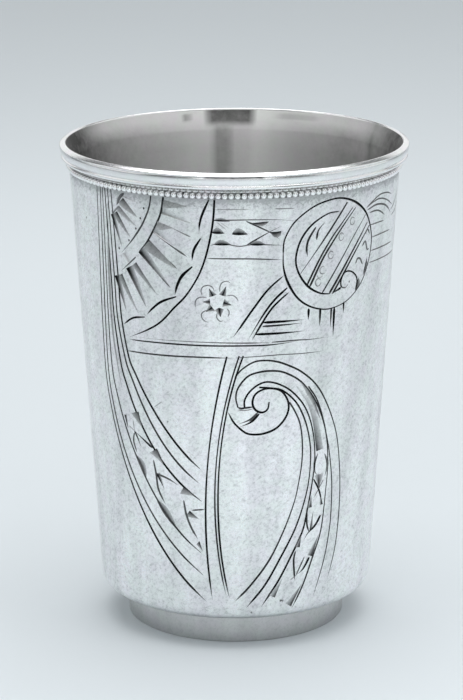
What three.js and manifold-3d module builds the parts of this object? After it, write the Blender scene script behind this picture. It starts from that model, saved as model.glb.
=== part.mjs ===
// A silver kiddush beaker: a tapering cup with a bead moulding under its lip, engraved ornament round
// its wall and a plain ring foot. Millimetres, +Z up. The origin is the middle of the foot's underside.
import * as THREE from 'three';
import { mergeVertices } from 'three/addons/utils/BufferGeometryUtils.js';
import Module from 'manifold-3d';

const wasm = await Module();
wasm.setup();

// Driving dimensions.
const height = 76;
const lipDiameter = 54;
const wallThickness = 0.8;
const baseRadius = 20.89; // the outer wall's radius, carried on down to the table
const wallTaper = 0.0634; // radius gained for each millimetre of height
const bottomHeight = 4.8; // underside of the cup's bottom
const bottomCornerRadius = 2.2;
const lipRollRadius = 0.5;
const flareHeight = 1.6; // from the throat, where the lining starts to open, up to the lip's top
const mouldingBottom = 71.85;
const mouldingTop = 75.0;
const mouldingEdge = 0.05; // the softened edge at the moulding's foot and top
const beadCount = 168;
const beadSize = 0.95;
const beadRise = 0.25;
const beadCrownRadius = 25.82; // from the cup's axis to the crown of a bead
const beadCrownShare = 0.4; // width of a bead's flat crown, as a share of the bead
const footDiameter = 34.6;
const footThickness = 1.2;
const footUndercut = 0.3; // how far the foot's outside draws in just above the table
const seam = 0.03; // solder line left between two pieces that meet
const facets = 42; // flats round every turned piece, with four beads on each

// The moulding above its beads, as [radius, height above the beads]: the hollow, the round ridge, the
// groove over it, and the band that widens up to the lip.
const mouldingSection = [
  [25.95, 0.1],
  [26.3, 0.45],
  [26.68, 0.7],
  [26.68, 1.0],
  [26.45, 1.2],
  [26.6, 1.45],
  [26.84, 2.1],
];

// The engraver's cuts. A cut's place is given on the unrolled wall: u is the distance round the cup
// from the middle of its front, measured at the wall's mean radius, and z is the height.
const meanRadius = 23.4;
const lineWidth = 0.36;
const lineDepth = 0.22;
const fleckDepth = 0.3;
const lineEnd = 0.15; // share of a line's first and last stretch in which it tapers to a point
const cutterLift = 0.15; // how far a cutter stands out of the wall
const tolerance = 0.001; // of the cut surfaces
const longestStep = 3.6; // furthest that a cutter runs straight round the cup
const engravingTop = mouldingBottom - 0.3;

const wallRadius = (z) => baseRadius + wallTaper * z;

// ---------------------------------------------------------------------------------------------------
// Turned pieces

function arcPoints(centreR, centreZ, radius, fromDegrees, toDegrees, steps) {
  const points = [];
  for (let i = 0; i <= steps; i += 1) {
    const angle = THREE.MathUtils.degToRad(fromDegrees + ((toDegrees - fromDegrees) * i) / steps);
    points.push([centreR + radius * Math.cos(angle), centreZ + radius * Math.sin(angle)]);
  }
  return points;
}

// Turns a profile of [radius, height] points, listed so that the metal is on their left.
function turned(profile) {
  const points = profile.map(([r, z]) => new THREE.Vector2(r, z));
  const geometry = new THREE.LatheGeometry(points, facets);
  geometry.rotateX(Math.PI / 2);
  return weld(geometry);
}

function weld(geometry) {
  geometry.deleteAttribute('normal');
  geometry.deleteAttribute('uv');
  return mergeVertices(geometry, 1e-4);
}

function toSolid(geometry) {
  const mesh = new wasm.Mesh({
    numProp: 3,
    vertProperties: Float32Array.from(geometry.attributes.position.array),
    triVerts: Uint32Array.from(geometry.index.array),
    tolerance,
  });
  mesh.merge();
  return new wasm.Manifold(mesh);
}

function toGeometry(solid) {
  const mesh = solid.getMesh();
  const geometry = new THREE.BufferGeometry();
  geometry.setAttribute('position', new THREE.BufferAttribute(mesh.vertProperties, 3));
  geometry.setIndex(new THREE.BufferAttribute(mesh.triVerts, 1));
  return geometry;
}

// The cup before it is engraved, from the middle of its underside out, up, over the lip and back down.
function cupShell() {
  const lipR = lipDiameter / 2 - lipRollRadius;
  const lipZ = height - lipRollRadius;
  const cornerZ = bottomHeight + bottomCornerRadius;
  const cornerR = wallRadius(cornerZ) - bottomCornerRadius;
  const throatZ = height - flareHeight;
  return turned([
    [0, bottomHeight],
    ...arcPoints(cornerR, cornerZ, bottomCornerRadius, -90, 0, 3),
    [wallRadius(mouldingTop), mouldingTop],
    [lipR + 0.4 * lipRollRadius, mouldingTop + seam],
    ...arcPoints(lipR, lipZ, lipRollRadius, -45, 90, 3),
    [lipR - 1.4 * lipRollRadius, height - 0.3 * lipRollRadius],
    [lipR - 2.3 * lipRollRadius, height - 1.1 * lipRollRadius],
    [wallRadius(throatZ) - wallThickness, throatZ],
    ...arcPoints(cornerR, cornerZ, bottomCornerRadius - wallThickness, 0, -90, 2),
    [0, bottomHeight + wallThickness],
  ]);
}

// ---------------------------------------------------------------------------------------------------
// The bead moulding. It is one wire: beads on their ground, a hollow, a round ridge and a flat band. It
// is built from rings of points, with more of them on the two rings that hold the beads.

function roundCup(angle, r, z) {
  return [r * Math.sin(angle), -r * Math.cos(angle), z];
}

// Adds a ring of corners, and returns what gives the number of its i-th corner.
function addRing(corners, [r, z], count) {
  const start = corners.length;
  for (let i = 0; i < count; i += 1) {
    corners.push(roundCup((i / count) * 2 * Math.PI, r, z));
  }
  return (i) => start + (i % count);
}

// Each flat of the wire meets several beads: below them at its inside ring, above them at the hollow.
function beadEdgeFaces(inside, foot, head, hollow) {
  const faces = [];
  const beadsPerFlat = beadCount / facets;
  const half = beadsPerFlat / 2;
  for (let i = 0; i < facets; i += 1) {
    const first = i * beadsPerFlat;
    for (let k = 0; k < beadsPerFlat; k += 1) {
      const corner = k < half ? i : i + 1;
      faces.push([inside(corner), foot(first + k + 1), foot(first + k)]);
      faces.push([head(first + k), head(first + k + 1), hollow(corner)]);
    }
    faces.push([inside(i), inside(i + 1), foot(first + half)]);
    faces.push([head(first + half), hollow(i + 1), hollow(i)]);
  }
  return faces;
}

// The bands between each ring and the next.
function bandFaces(rings) {
  const faces = [];
  for (let k = 0; k < rings.length - 1; k += 1) {
    const [lower, upper] = [rings[k], rings[k + 1]];
    for (let i = 0; i < facets; i += 1) {
      faces.push([lower(i), lower(i + 1), upper(i + 1)]);
      faces.push([lower(i), upper(i + 1), upper(i)]);
    }
  }
  return faces;
}

// Each bead rises from its four corners to a small flat crown.
function beadFaces(corners, foot, head, middleZ) {
  const faces = [];
  const reach = (beadSize * beadCrownShare) / 2;
  for (let i = 0; i < beadCount; i += 1) {
    const angle = ((i + 0.5) / beadCount) * 2 * Math.PI;
    const crown = corners.length;
    for (const [aside, up] of [[-1, -1], [1, -1], [1, 1], [-1, 1]]) {
      const turn = angle + (aside * reach) / beadCrownRadius;
      corners.push(roundCup(turn, beadCrownRadius, middleZ + up * reach));
    }
    const rim = [foot(i), foot(i + 1), head(i + 1), head(i)];
    for (let k = 0; k < 4; k += 1) {
      const next = (k + 1) % 4;
      faces.push([rim[k], rim[next], crown + next], [rim[k], crown + next, crown + k]);
    }
    faces.push([crown, crown + 1, crown + 2], [crown, crown + 2, crown + 3]);
  }
  return faces;
}

function beadMoulding() {
  const corners = [];
  const innerR = (z) => wallRadius(z) + seam;
  const groundR = beadCrownRadius - beadRise;
  const beadFoot = mouldingBottom + mouldingEdge;
  const beadHead = beadFoot + beadSize;
  const inside = addRing(corners, [innerR(mouldingBottom), mouldingBottom], facets);
  const foot = addRing(corners, [groundR, beadFoot], beadCount);
  const head = addRing(corners, [groundR, beadHead], beadCount);
  const above = mouldingSection.map(([r, up]) => addRing(corners, [r, beadHead + up], facets));
  const top = addRing(corners, [innerR(mouldingTop), mouldingTop], facets);
  const faces = [
    ...beadEdgeFaces(inside, foot, head, above[0]),
    ...bandFaces([...above, top, inside]),
    ...beadFaces(corners, foot, head, (beadFoot + beadHead) / 2),
  ];
  return meshOf(corners, faces);
}

function meshOf(corners, faces) {
  const geometry = new THREE.BufferGeometry();
  geometry.setAttribute('position', new THREE.BufferAttribute(new Float32Array(corners.flat()), 3));
  geometry.setIndex(faces.flat());
  return geometry;
}

// The foot is a plain band, drawn in a little where it meets the table.
function footRing() {
  const outerR = footDiameter / 2;
  const innerR = outerR - footThickness;
  const top = bottomHeight - seam;
  return turned([
    [innerR, 0.1],
    [innerR + 0.2, 0],
    [outerR - footUndercut - 0.2, 0],
    [outerR - footUndercut, 0.25],
    [outerR, top],
    [innerR, top],
    [innerR, 0.1],
  ]);
}

// ---------------------------------------------------------------------------------------------------
// Engraving

const at = (u, z) => new THREE.Vector2(u, z);

// Paths on the unrolled wall.
const straight = (...ends) => ends.map(([u, z]) => at(u, z));
const bend = (ends, steps) => new THREE.CubicBezierCurve(...straight(...ends)).getPoints(steps);

function ellipse(centre, radii, fromDegrees, toDegrees, steps) {
  const from = THREE.MathUtils.degToRad(fromDegrees);
  const to = THREE.MathUtils.degToRad(toDegrees);
  const turn = new THREE.EllipseCurve(centre[0], centre[1], radii[0], radii[1], from, to, to < from);
  return turn.getPoints(steps);
}

// A point on the wall, and one that stands out from it by lift, which is negative inside the metal.
function onWall(u, z, lift) {
  return roundCup(u / meanRadius, wallRadius(z) + lift, z);
}

// Adds stations wherever two are further apart round the cup than a cutter can bridge.
function closeSet(stations) {
  const { lerp } = THREE.MathUtils;
  const set = [stations[0]];
  for (let i = 1; i < stations.length; i += 1) {
    const [from, to] = [stations[i - 1], stations[i]];
    const steps = Math.max(1, Math.ceil(Math.abs(to.u - from.u) / longestStep));
    for (let k = 1; k <= steps; k += 1) {
      const share = k / steps;
      set.push({
        u: lerp(from.u, to.u, share),
        z: lerp(from.z, to.z, share),
        full: lerp(from.full, to.full, share),
      });
    }
  }
  return set;
}

// The corners of a cutter: a point where it starts, three corners at each station, a point at its end.
function cutterCorners(stations, width, depth) {
  const last = stations.length - 1;
  const tip = ({ u, z }) => onWall(u, z, cutterLift);
  const corners = [tip(stations[0])];
  for (let i = 1; i < last; i += 1) {
    const { u, z, full } = stations[i];
    const [before, after] = [stations[i - 1], stations[i + 1]];
    const along = at(after.u - before.u, after.z - before.z).normalize();
    const reach = (width / 2) * (full + cutterLift / depth);
    corners.push(
      onWall(u - along.y * reach, z + along.x * reach, cutterLift),
      onWall(u + along.y * reach, z - along.x * reach, cutterLift),
      onWall(u, z, -depth * full),
    );
  }
  return [...corners, tip(stations[last])];
}

// The cutter of one V-shaped cut. Each station has its place on the wall, and the share of the full
// width and depth that the cut has there. The cut comes to a point at its first and last station.
function cutter(roughStations, width, depth) {
  const stations = closeSet(roughStations);
  const last = stations.length - 1;
  const corners = cutterCorners(stations, width, depth);
  const corner = (place, side) => 1 + (place - 1) * 3 + (side % 3);
  const faces = [];
  for (let side = 0; side < 3; side += 1) {
    faces.push([0, corner(1, side + 1), corner(1, side)]);
    for (let i = 1; i < last - 1; i += 1) {
      faces.push([corner(i, side), corner(i, side + 1), corner(i + 1, side + 1)]);
      faces.push([corner(i, side), corner(i + 1, side + 1), corner(i + 1, side)]);
    }
    faces.push([corner(last - 1, side), corner(last - 1, side + 1), corners.length - 1]);
  }
  return toSolid(meshOf(corners, faces));
}

const station = (place, full) => ({ u: place.x, z: place.y, full });

// A line keeps an even width nearly from end to end.
function line(path, width = lineWidth) {
  const [first, end] = [path[0], path.at(-1)];
  const inner = [
    first.clone().lerp(path[1], lineEnd),
    ...path.slice(1, -1),
    end.clone().lerp(path.at(-2), lineEnd),
  ].map((place) => station(place, 1));
  return cutter([station(first, 0), ...inner, station(end, 0)], width, lineDepth);
}

// A fleck is one push of a flat graver: it swells quickly and runs out to a point.
function fleck(from, to, width = 0.9, fullAt = 0.2) {
  const [start, end] = straight(from, to);
  const widest = start.clone().lerp(end, fullAt);
  return cutter([station(start, 0), station(widest, 1), station(end, 0)], width, fleckDepth);
}

// Six lines fall side by side from the moulding at the left, then sweep apart to the foot of the stem.
function leftSweep() {
  const lines = [
    [-22.0, [[-23.2, 47.5], [-24.1, 34.2], [-15.6, 16.3], [-4.9, 8.0]]],
    [-21.2, [[-22.4, 47.7], [-23.2, 34.0], [-16.1, 20.4], [-5.3, 12.3]]],
    [-20.7, [[-21.5, 47.9], [-22.0, 37.6], [-14.1, 21.8], [-5.5, 15.9]]],
    [-20.2, [[-19.9, 48.2], [-18.1, 39.0], [-13.5, 29.6], [-5.3, 24.4]]],
    [-19.6, [[-19.1, 48.4], [-16.3, 40.6], [-12.7, 32.4], [-5.8, 27.4]]],
    [-18.9, [[-18.2, 48.5], [-16.2, 42.3], [-10.5, 33.6], [-5.4, 29.6]]],
  ];
  return lines.map(([topU, ends]) => line([at(topU, engravingTop), ...bend(ends, 5)]));
}

// Cut leaves between the sweep's third and fourth lines.
function sweepLeaves() {
  return [
    fleck([-17.3, 38.2], [-15.1, 34.6], 0.8),
    fleck([-18.4, 37.0], [-13.6, 32.2], 0.5, 0.7),
    fleck([-14.3, 32.2], [-11.3, 29.4], 1.0),
    fleck([-17.1, 31.6], [-14.7, 27.4], 1.0, 0.6),
    fleck([-13.9, 31.2], [-11.2, 23.0], 0.5, 0.3),
    fleck([-13.3, 29.2], [-8.6, 27.2], 0.5),
    fleck([-13.2, 24.6], [-9.4, 19.4], 0.9, 0.4),
    fleck([-8.6, 27.0], [-6.6, 25.2], 1.0, 0.4),
    fleck([-8.5, 26.2], [-5.6, 17.0], 0.5),
    fleck([-7.6, 23.4], [-5.2, 22.4], 0.9),
  ];
}

// The stem: two long cuts that lean to the left and open towards the bottom.
function stem() {
  return [
    line(bend([[-1.2, 47.4], [-4.4, 35.2], [-5.9, 21.9], [-4.0, 9.0]], 5)),
    line(bend([[0.9, 47.4], [-3.2, 36], [-4.3, 21], [-1.3, 8.8]], 5), 0.5),
  ];
}

function waistBand() {
  return [
    line(straight([-17.3, 49.3], [-8, 49.6], [3, 49.9], [14.5, 49.6])),
    line(straight([-17.4, 47.0], [-8, 47.4], [4, 47.6], [14, 47.5])),
  ];
}

// The fan in the upper left corner opens from a point under the moulding: rays between three arcs, and
// scallops along the outermost.
function fan() {
  const centre = [-20, 71];
  const outer = [17.3, 22];
  const cuts = [
    line(ellipse(centre, outer, 1.5, -82, 9), 0.42),
    line(ellipse(centre, [8, 8.8], 3, -70, 4)),
    line(ellipse(centre, [9.8, 10.2], 3, -55, 4)),
  ];
  const rays = { count: 9, firstAngle: -10, turn: -8.9, root: 10.2, tip: 14.2 };
  for (let i = 0; i < rays.count; i += 1) {
    const angle = THREE.MathUtils.degToRad(rays.firstAngle + rays.turn * i);
    const place = (r) => [centre[0] + r * Math.cos(angle), centre[1] + r * Math.sin(angle)];
    cuts.push(fleck(place(rays.root + 0.25 * i), place(rays.tip + 0.5 * i), 0.85));
  }
  cuts.push(
    fleck([-17.7, 70.7], [-14.2, 68.4], 0.8),
    fleck([-18.5, 69.15], [-15.8, 65.3], 0.8),
    fleck([-19.25, 68.2], [-17.3, 63.4], 0.7),
  );
  const scallops = [[-1, -17], [-18, -31], [-33, -50], [-51, -68], [-69, -83]];
  for (const [from, to] of scallops) {
    cuts.push(line(ellipse(centre, [outer[0] - 1.7, outer[1] - 2], from, to, 3), 0.45));
  }
  return cuts;
}

// Lattice between the fan and the medallion.
function lattice() {
  return [
    line(straight([-2.9, 68.7], [8.6, 68.4]), 0.3),
    line(straight([-3.6, 65.0], [6.9, 64.8]), 0.3),
    line(straight([-4.1, 62.9], [6.7, 62.7]), 0.3),
    fleck([1.4, 68.6], [6.4, 65.6], 0.5, 0.5),
    fleck([6.6, 67.7], [1.3, 65.0], 0.5, 0.5),
    fleck([-2.9, 68.4], [-0.2, 68.2], 0.8, 0.3),
    fleck([-3.1, 66.9], [-1.0, 66.7], 0.8, 0.3),
    fleck([-0.8, 66.8], [1.6, 66.6], 0.9, 0.5),
    fleck([-3.0, 65.4], [0.2, 65.2], 0.8, 0.5),
    fleck([2.2, 68.3], [4.6, 68.2], 0.7, 0.5),
    fleck([1.8, 65.2], [4.6, 65.1], 0.8, 0.5),
  ];
}

// Six short cuts turn round one point.
function flower() {
  const centre = [-2.5, 56.4];
  const petals = 6;
  return Array.from({ length: petals }, (_, i) => {
    const angle = THREE.MathUtils.degToRad(35 + (360 / petals) * i);
    const place = (r) => [centre[0] + r * Math.cos(angle), centre[1] + r * Math.sin(angle)];
    return fleck(place(0.9), place(2.5), 0.8, 0.25);
  });
}

// A round medallion: a rim, a shorter ring inside it, bars slanting across and a small curl.
function medallion() {
  const centre = [14.8, 62.6];
  const rim = 8.15;
  const ring = 6.15;
  const cuts = [
    line([...ellipse(centre, [rim, rim + 0.1], 85, 430, 14), at(15.2, 70.8)], 0.42),
    line(ellipse(centre, [ring, ring + 0.2], 85, 290, 7)),
    line(bend([[16.5, 57.0], [16.2, 60.6], [21.4, 60.4], [19.4, 55.8]], 4)),
    fleck([11.8, 67.3], [10.5, 62.6], 0.5, 0.5),
    fleck([13.3, 67.8], [11.8, 64.8], 0.5, 0.7),
  ];
  // Each bar's distance from the centre, and how far it reaches up and down along its slant.
  const slant = THREE.MathUtils.degToRad(54.5);
  const bars = [[-2.7, 6.9, -5.2], [-0.8, 6.9, -6], [2, 6.5, -5.9], [3.5, 5.5, -5.2]];
  for (const [aside, up, down] of bars) {
    const place = (along) => [
      centre[0] + aside * Math.sin(slant) + along * Math.cos(slant),
      centre[1] - aside * Math.cos(slant) + along * Math.sin(slant),
    ];
    cuts.push(line(straight(place(up), place(down))));
  }
  return cuts;
}

// What hangs from the medallion: an arm down to the left, short strokes below it, plumes to the right.
function medallionSprays() {
  const cuts = [
    line(bend([[6.9, 60.0], [4.0, 57.2], [1.6, 54.0], [-0.4, 50.2]], 3)),
    line(bend([[7.4, 57.9], [5.4, 56.2], [3.4, 53.6], [1.9, 50.2]], 3), 0.5),
    line(straight([4.0, 52.9], [10, 52.8]), 0.5),
    line(straight([3.0, 51.2], [10.4, 51.1])),
  ];
  for (const [u, top, bottom] of [[10.9, 54.9, 52.8], [12.9, 54.4, 51.4], [15.3, 54.4, 49.9]]) {
    cuts.push(line(straight([u, top], [u, bottom])));
  }
  for (const plume of [
    [[21.4, 68], [23.2, 70.8], [25.5, 70.4], [29.4, 68.3]],
    [[21.4, 68], [23.2, 69], [25.5, 68.6], [27, 67.4]],
  ]) {
    cuts.push(line(bend(plume, 3)));
  }
  for (const [z, from, reach] of [[65.5, 22.1, 5], [63.6, 22.8, 7], [61.5, 22.8, 8.5], [59.5, 22.2, 9.5]]) {
    cuts.push(line(straight([from, z], [from + reach, z - 0.1])));
  }
  return cuts;
}

// The scroll springs from the stem, arches over and sweeps down to the right, round a coiled eye.
function scroll() {
  return [
    line([...bend([[0, 44.7], [3.5, 50], [12.1, 44.7], [14, 40.6]], 4),
      ...bend([[14, 40.6], [18.6, 33.3], [20.7, 17.8], [16.5, 9.7]], 4).slice(1)]),
    line([...bend([[0.3, 39.8], [-1, 47.8], [9.6, 46.2], [12, 40.9]], 5),
      ...bend([[12, 40.9], [17.8, 31], [18.9, 18.1], [13.6, 7.6]], 4).slice(1)]),
    line([...bend([[1.3, 39.8], [2.4, 46.4], [9, 43.2], [10.9, 38.9]], 5),
      ...bend([[10.9, 38.9], [15.8, 29.3], [11.2, 14.7], [4.2, 7.2]], 4).slice(1)]),
    line(bend([[7.1, 42.2], [18.1, 32.5], [9.4, 16.1], [1.7, 7.3]], 6)),
    line(bend([[8.4, 40], [14.5, 30.6], [7.5, 14.6], [-0.3, 8.3]], 5)),
    line(bend([[13, 39.8], [17.7, 29], [15.2, 16.5], [9.6, 6.6]], 5)),
    line([...bend([[2.6, 40.4], [2.6, 43.6], [9.4, 44.2], [8.2, 38.8]], 5),
      ...bend([[8.2, 38.8], [7.2, 34.6], [0.4, 34.2], [-1.1, 38.5]], 5).slice(1)], 0.42),
    line(bend([[2.6, 40.4], [2.6, 38.2], [5.4, 38.2], [5.1, 40.4]], 3)),
    line(straight([0.3, 39.8], [2.6, 39.6]), 0.42),
    fleck([3.3, 38.9], [0.3, 36.8], 0.9, 0.3),
    fleck([9.9, 42.4], [14.4, 31], 0.9, 0.9),
  ];
}

// Lozenges and arrow cuts down the scroll's wide band.
function scrollLeaves() {
  return [
    fleck([13.0, 30.6], [13.1, 27.6], 0.4, 0.5),
    fleck([14.9, 30.4], [14.8, 27.4], 0.4, 0.5),
    fleck([14.0, 27.8], [13.8, 25.8], 1.0, 0.2),
    fleck([12.7, 27.3], [14.8, 22.6], 0.45, 0.6),
    fleck([14.2, 25.8], [12.2, 23.0], 0.45, 0.7),
    fleck([14.2, 20.4], [10.6, 15.6], 0.5, 0.3),
    fleck([11.7, 21.6], [12.1, 17.4], 0.5, 0.3),
    fleck([12.9, 17.4], [12.4, 15.2], 0.9),
    fleck([12.4, 14.8], [9.8, 11.8], 0.5, 0.3),
    fleck([9.9, 15.2], [9.8, 11.2], 0.6, 0.3),
    fleck([9.6, 11.4], [6.6, 7.6], 0.9, 0.5),
    fleck([11, 9.6], [8.9, 7.2], 0.9, 0.4),
  ];
}

// The back is plainer: a bare round reserve, with a spray rising to it on each side.
function backReserve() {
  const back = Math.PI * meanRadius;
  const centreZ = 50;
  const radius = 10;
  const round = ellipse([back, centreZ], [radius, radius], 85, 430, 14);
  const cuts = [line([...round, at(back + 0.8, centreZ + radius)], 0.42)];
  for (const side of [-1, 1]) {
    const spray = [[1.2, 8.4], [7.2, 14], [14.5, 22], [16, 38]];
    cuts.push(line(bend(spray.map(([aside, z]) => [back + side * aside, z]), 4)));
  }
  return cuts;
}

function cupBody() {
  const cuts = wasm.Manifold.union([
    ...leftSweep(),
    ...sweepLeaves(),
    ...stem(),
    ...waistBand(),
    ...fan(),
    ...lattice(),
    ...flower(),
    ...medallion(),
    ...medallionSprays(),
    ...scroll(),
    ...scrollLeaves(),
    ...backReserve(),
  ]);
  return toGeometry(toSolid(cupShell()).subtract(cuts));
}

// ---------------------------------------------------------------------------------------------------
// The cup

function piece(name, geometry, color, roughness) {
  const material = new THREE.MeshStandardMaterial({ color, roughness, metalness: 1 });
  const mesh = new THREE.Mesh(geometry, material);
  mesh.name = name;
  return mesh;
}

const cup = new THREE.Group();
cup.add(
  piece('cup_body', cupBody(), 0xd9dade, 0.32),
  piece('bead_moulding', beadMoulding(), 0xe4e4e6, 0.25),
  piece('foot_ring', footRing(), 0xc9cac8, 0.35),
);

export default cup;
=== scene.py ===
# %% [markdown]
# # A silver kiddush beaker
# This lesson dresses a small silver beaker: a tapering cup with a rolled lip, a bead moulding soldered
# on below it, a plain ring foot, and ornament engraved by hand round the wall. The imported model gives
# the true sizes and the simple solids. Each of its three pieces is replaced here by a finely made mesh
# in the same place, and each mesh gets a silver of its own, made from nodes.

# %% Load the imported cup
import math

import bpy
import numpy as np
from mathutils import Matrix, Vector
from mathutils.bvhtree import BVHTree
from mathutils.geometry import delaunay_2d_cdt


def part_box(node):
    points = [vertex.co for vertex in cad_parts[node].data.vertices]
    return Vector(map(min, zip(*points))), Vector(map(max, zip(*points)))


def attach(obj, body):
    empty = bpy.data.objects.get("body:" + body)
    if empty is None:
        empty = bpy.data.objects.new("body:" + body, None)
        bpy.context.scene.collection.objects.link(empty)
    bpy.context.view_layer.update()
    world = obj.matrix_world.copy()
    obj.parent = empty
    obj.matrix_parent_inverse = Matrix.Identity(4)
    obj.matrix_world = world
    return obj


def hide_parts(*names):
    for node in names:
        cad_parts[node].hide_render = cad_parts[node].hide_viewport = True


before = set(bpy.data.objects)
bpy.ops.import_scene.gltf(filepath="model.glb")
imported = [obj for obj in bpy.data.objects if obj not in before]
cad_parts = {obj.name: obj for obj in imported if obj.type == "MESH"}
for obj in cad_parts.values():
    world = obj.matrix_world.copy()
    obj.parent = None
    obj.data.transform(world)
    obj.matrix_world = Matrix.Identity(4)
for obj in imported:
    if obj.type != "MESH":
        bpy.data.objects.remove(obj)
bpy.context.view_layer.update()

# %% [markdown]
# ## The cup's sizes
# A silversmith works from a few sizes: how wide the lip is, how much the wall leans out, how round the
# bottom corner is. They are kept in millimetres, as on a workshop drawing, and every mesh is scaled to
# metres at the very end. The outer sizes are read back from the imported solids, so the dressed cup can't
# drift away from them.

# %% Sizes in millimetres
MM = 0.001
FULL_TURN = 2 * math.pi

cup_low, cup_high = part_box("cup_body")
wire_low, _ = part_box("bead_moulding")
_, foot_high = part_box("foot_ring")
HEIGHT = cup_high.z / MM
LIP_RADIUS = cup_high.x / MM
BOTTOM = cup_low.z / MM
WIRE_BOTTOM = wire_low.z / MM
FOOT_TOP = foot_high.z / MM
FOOT_RADIUS = foot_high.x / MM

BASE_RADIUS = 20.89  # the wall's radius, carried on down to the table
TAPER = 0.0634  # radius gained for each millimetre of height
WALL = 0.8
CORNER = 2.2  # radius of the rounded bottom corner
COLUMNS = 216  # points round the cup where it is plain

print(f"cup {HEIGHT:.2f} high, lip radius {LIP_RADIUS:.2f}, moulding from {WIRE_BOTTOM:.2f} up")
print(f"foot radius {FOOT_RADIUS:.2f}, top {FOOT_TOP:.2f}")

# %% [markdown]
# ## The wall, unrolled
# Engraving is easier to lay out on a flat sheet than on a cup, so the wall is unrolled. A place on the
# sheet has two numbers: u, the distance round the cup from the middle of its front, and t, the height.
# One function rolls the sheet up again. Below the wall's straight part, t carries on round the bottom
# corner, so that a cut may run a little way onto it, as some of the real ones do.

# %% From the flat sheet to the cup
MEAN_RADIUS = 23.4  # one millimetre of u is one millimetre on the wall at this radius
SEAM_U = -45.0  # where the sheet is joined: a place with no engraving
LEAN = math.atan(TAPER)
WALL_FOOT = BOTTOM + CORNER - CORNER * math.sin(LEAN)
CORNER_R = BASE_RADIUS + TAPER * WALL_FOOT - CORNER * math.cos(LEAN)
CORNER_Z = BOTTOM + CORNER


def wall_radius(z):
    """Radius of the wall's outside at a height."""
    return BASE_RADIUS + TAPER * z


def skin(t):
    """Radius, height and outward direction (along the radius, up) of the cup's skin at sheet height t."""
    t = np.asarray(t, float)
    bend = np.clip((WALL_FOOT - t) / CORNER, 0, math.pi / 2 - LEAN) + LEAN
    out, up = np.cos(bend), -np.sin(bend)
    low = t < WALL_FOOT
    radius = np.where(low, CORNER_R + CORNER * out, wall_radius(t))
    height = np.where(low, CORNER_Z + CORNER * up, t)
    return radius, height, out, up


def roll_up(u, t, depth):
    """Points on the cup, in millimetres, for places on the sheet that are cut to a depth."""
    radius, height, out, up = skin(t)
    angle = np.asarray(u, float) / MEAN_RADIUS
    r = radius - depth * out
    return np.stack([r * np.sin(angle), -r * np.cos(angle), height - depth * up], axis=-1)


def facing(u, t):
    """The direction that the uncut skin faces."""
    _, _, out, up = skin(t)
    angle = np.asarray(u, float) / MEAN_RADIUS
    return np.stack([out * np.sin(angle), -out * np.cos(angle), up + 0 * angle], axis=-1)


print("wall meets the corner at", round(WALL_FOOT, 2))

# %% [markdown]
# ## One cut of the graver
# A graver pushed through silver leaves a groove with two sloping sides that meet in a sharp deep line.
# A square graver held upright leaves an even V. A flat graver tipped to one side makes a bright cut:
# steep on one side, broad and shallow on the other, blunt where it starts and pointed where it ends.
# Both are one thing here: a deep line, and how far the groove reaches to its left and right at each
# place along it. A groove could be painted with a bump map, but real sloping sides catch the light
# properly from every direction, so the cuts are made in the mesh.

# %% Paths on the sheet
def bow(a, b, c, d, steps=40):
    """A cubic bow from a to d, pulled towards b and c."""
    s = np.linspace(0, 1, steps + 1)[:, None]
    a, b, c, d = (np.array(p, float) for p in (a, b, c, d))
    return (1 - s) ** 3 * a + 3 * (1 - s) ** 2 * s * b + 3 * (1 - s) * s**2 * c + s**3 * d


def through(*points):
    """A smooth line through all the points."""
    p = np.array(points, float)
    if len(p) == 2:
        return p
    p = np.vstack([2 * p[0] - p[1], p, 2 * p[-1] - p[-2]])
    pieces = []
    for p0, p1, p2, p3 in zip(p, p[1:], p[2:], p[3:]):
        s = np.linspace(0, 1, 13)[:-1, None]
        pieces.append(
            0.5 * (2 * p1 + (p2 - p0) * s + (2 * p0 - 5 * p1 + 4 * p2 - p3) * s**2
                   + (3 * p1 - p0 - 3 * p2 + p3) * s**3)
        )
    return np.vstack([*pieces, p[-2]])


def ring(centre, radius, start=0, end=360):
    """Part of a circle, or of an ellipse if radius is a pair, by degrees."""
    across, up = radius if isinstance(radius, tuple) else (radius, radius)
    a = np.radians(np.linspace(start, end, 73))
    return np.stack([centre[0] + across * np.cos(a), centre[1] + up * np.sin(a)], axis=1)


def evenly(path, step):
    """The same path with its points an even step apart."""
    path = np.asarray(path, float)
    far = np.concatenate([[0], np.cumsum(np.hypot(*np.diff(path, axis=0).T))])
    count = max(3, int(math.ceil(far[-1] / step)))
    places = np.linspace(0, far[-1], count + 1)
    return np.stack([np.interp(places, far, path[:, 0]), np.interp(places, far, path[:, 1])], axis=1)


print("a millimetre of path in steps of 0.25:", len(evenly([(0, 0), (1, 0)], 0.25)), "points")

# %% Kinds of cut
STEP = 0.34  # distance between stations along a cut
BITE = 1.2  # how much wider than its drawn line a cut comes out
BROAD = 1.25  # the same for bright cuts and leaf cuts
GROOVE_DEPTH = 0.75  # how deep a plain groove is, against half its width
FLARE_DEPTH, LEAF_DEPTH = 0.2, 0.22  # how deep a bright cut and a leaf cut are, against their width
FLARE_STEEP, LEAF_STEEP = 0.12, 0.15  # share of their width that lies on the steep side
THINNEST = 0.004  # least half width of a plain groove between its ends
BLUNT = 0.08  # how soon a bright cut is at its full depth
# A cut's darkness is partly black tarnish in the groove and partly painted shade: a bright cut or leaf cut is
# painted darkest along its deep line and paler out along its broad slope, and a bright cut also from its root
# to its tip, as its sloping facet would look in the light.
DEEPEN = 1.3  # how much darker a bright cut is along its deep line than its drawn tone
PALING = 0.75  # how much of that is lost at the far edge of its broad slope
GROOVE_PALING = 0.1  # the same for a plain groove
cuts = []  # every cut: a row per station of u, t, left reach, right reach, depth, darkness, paling
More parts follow.
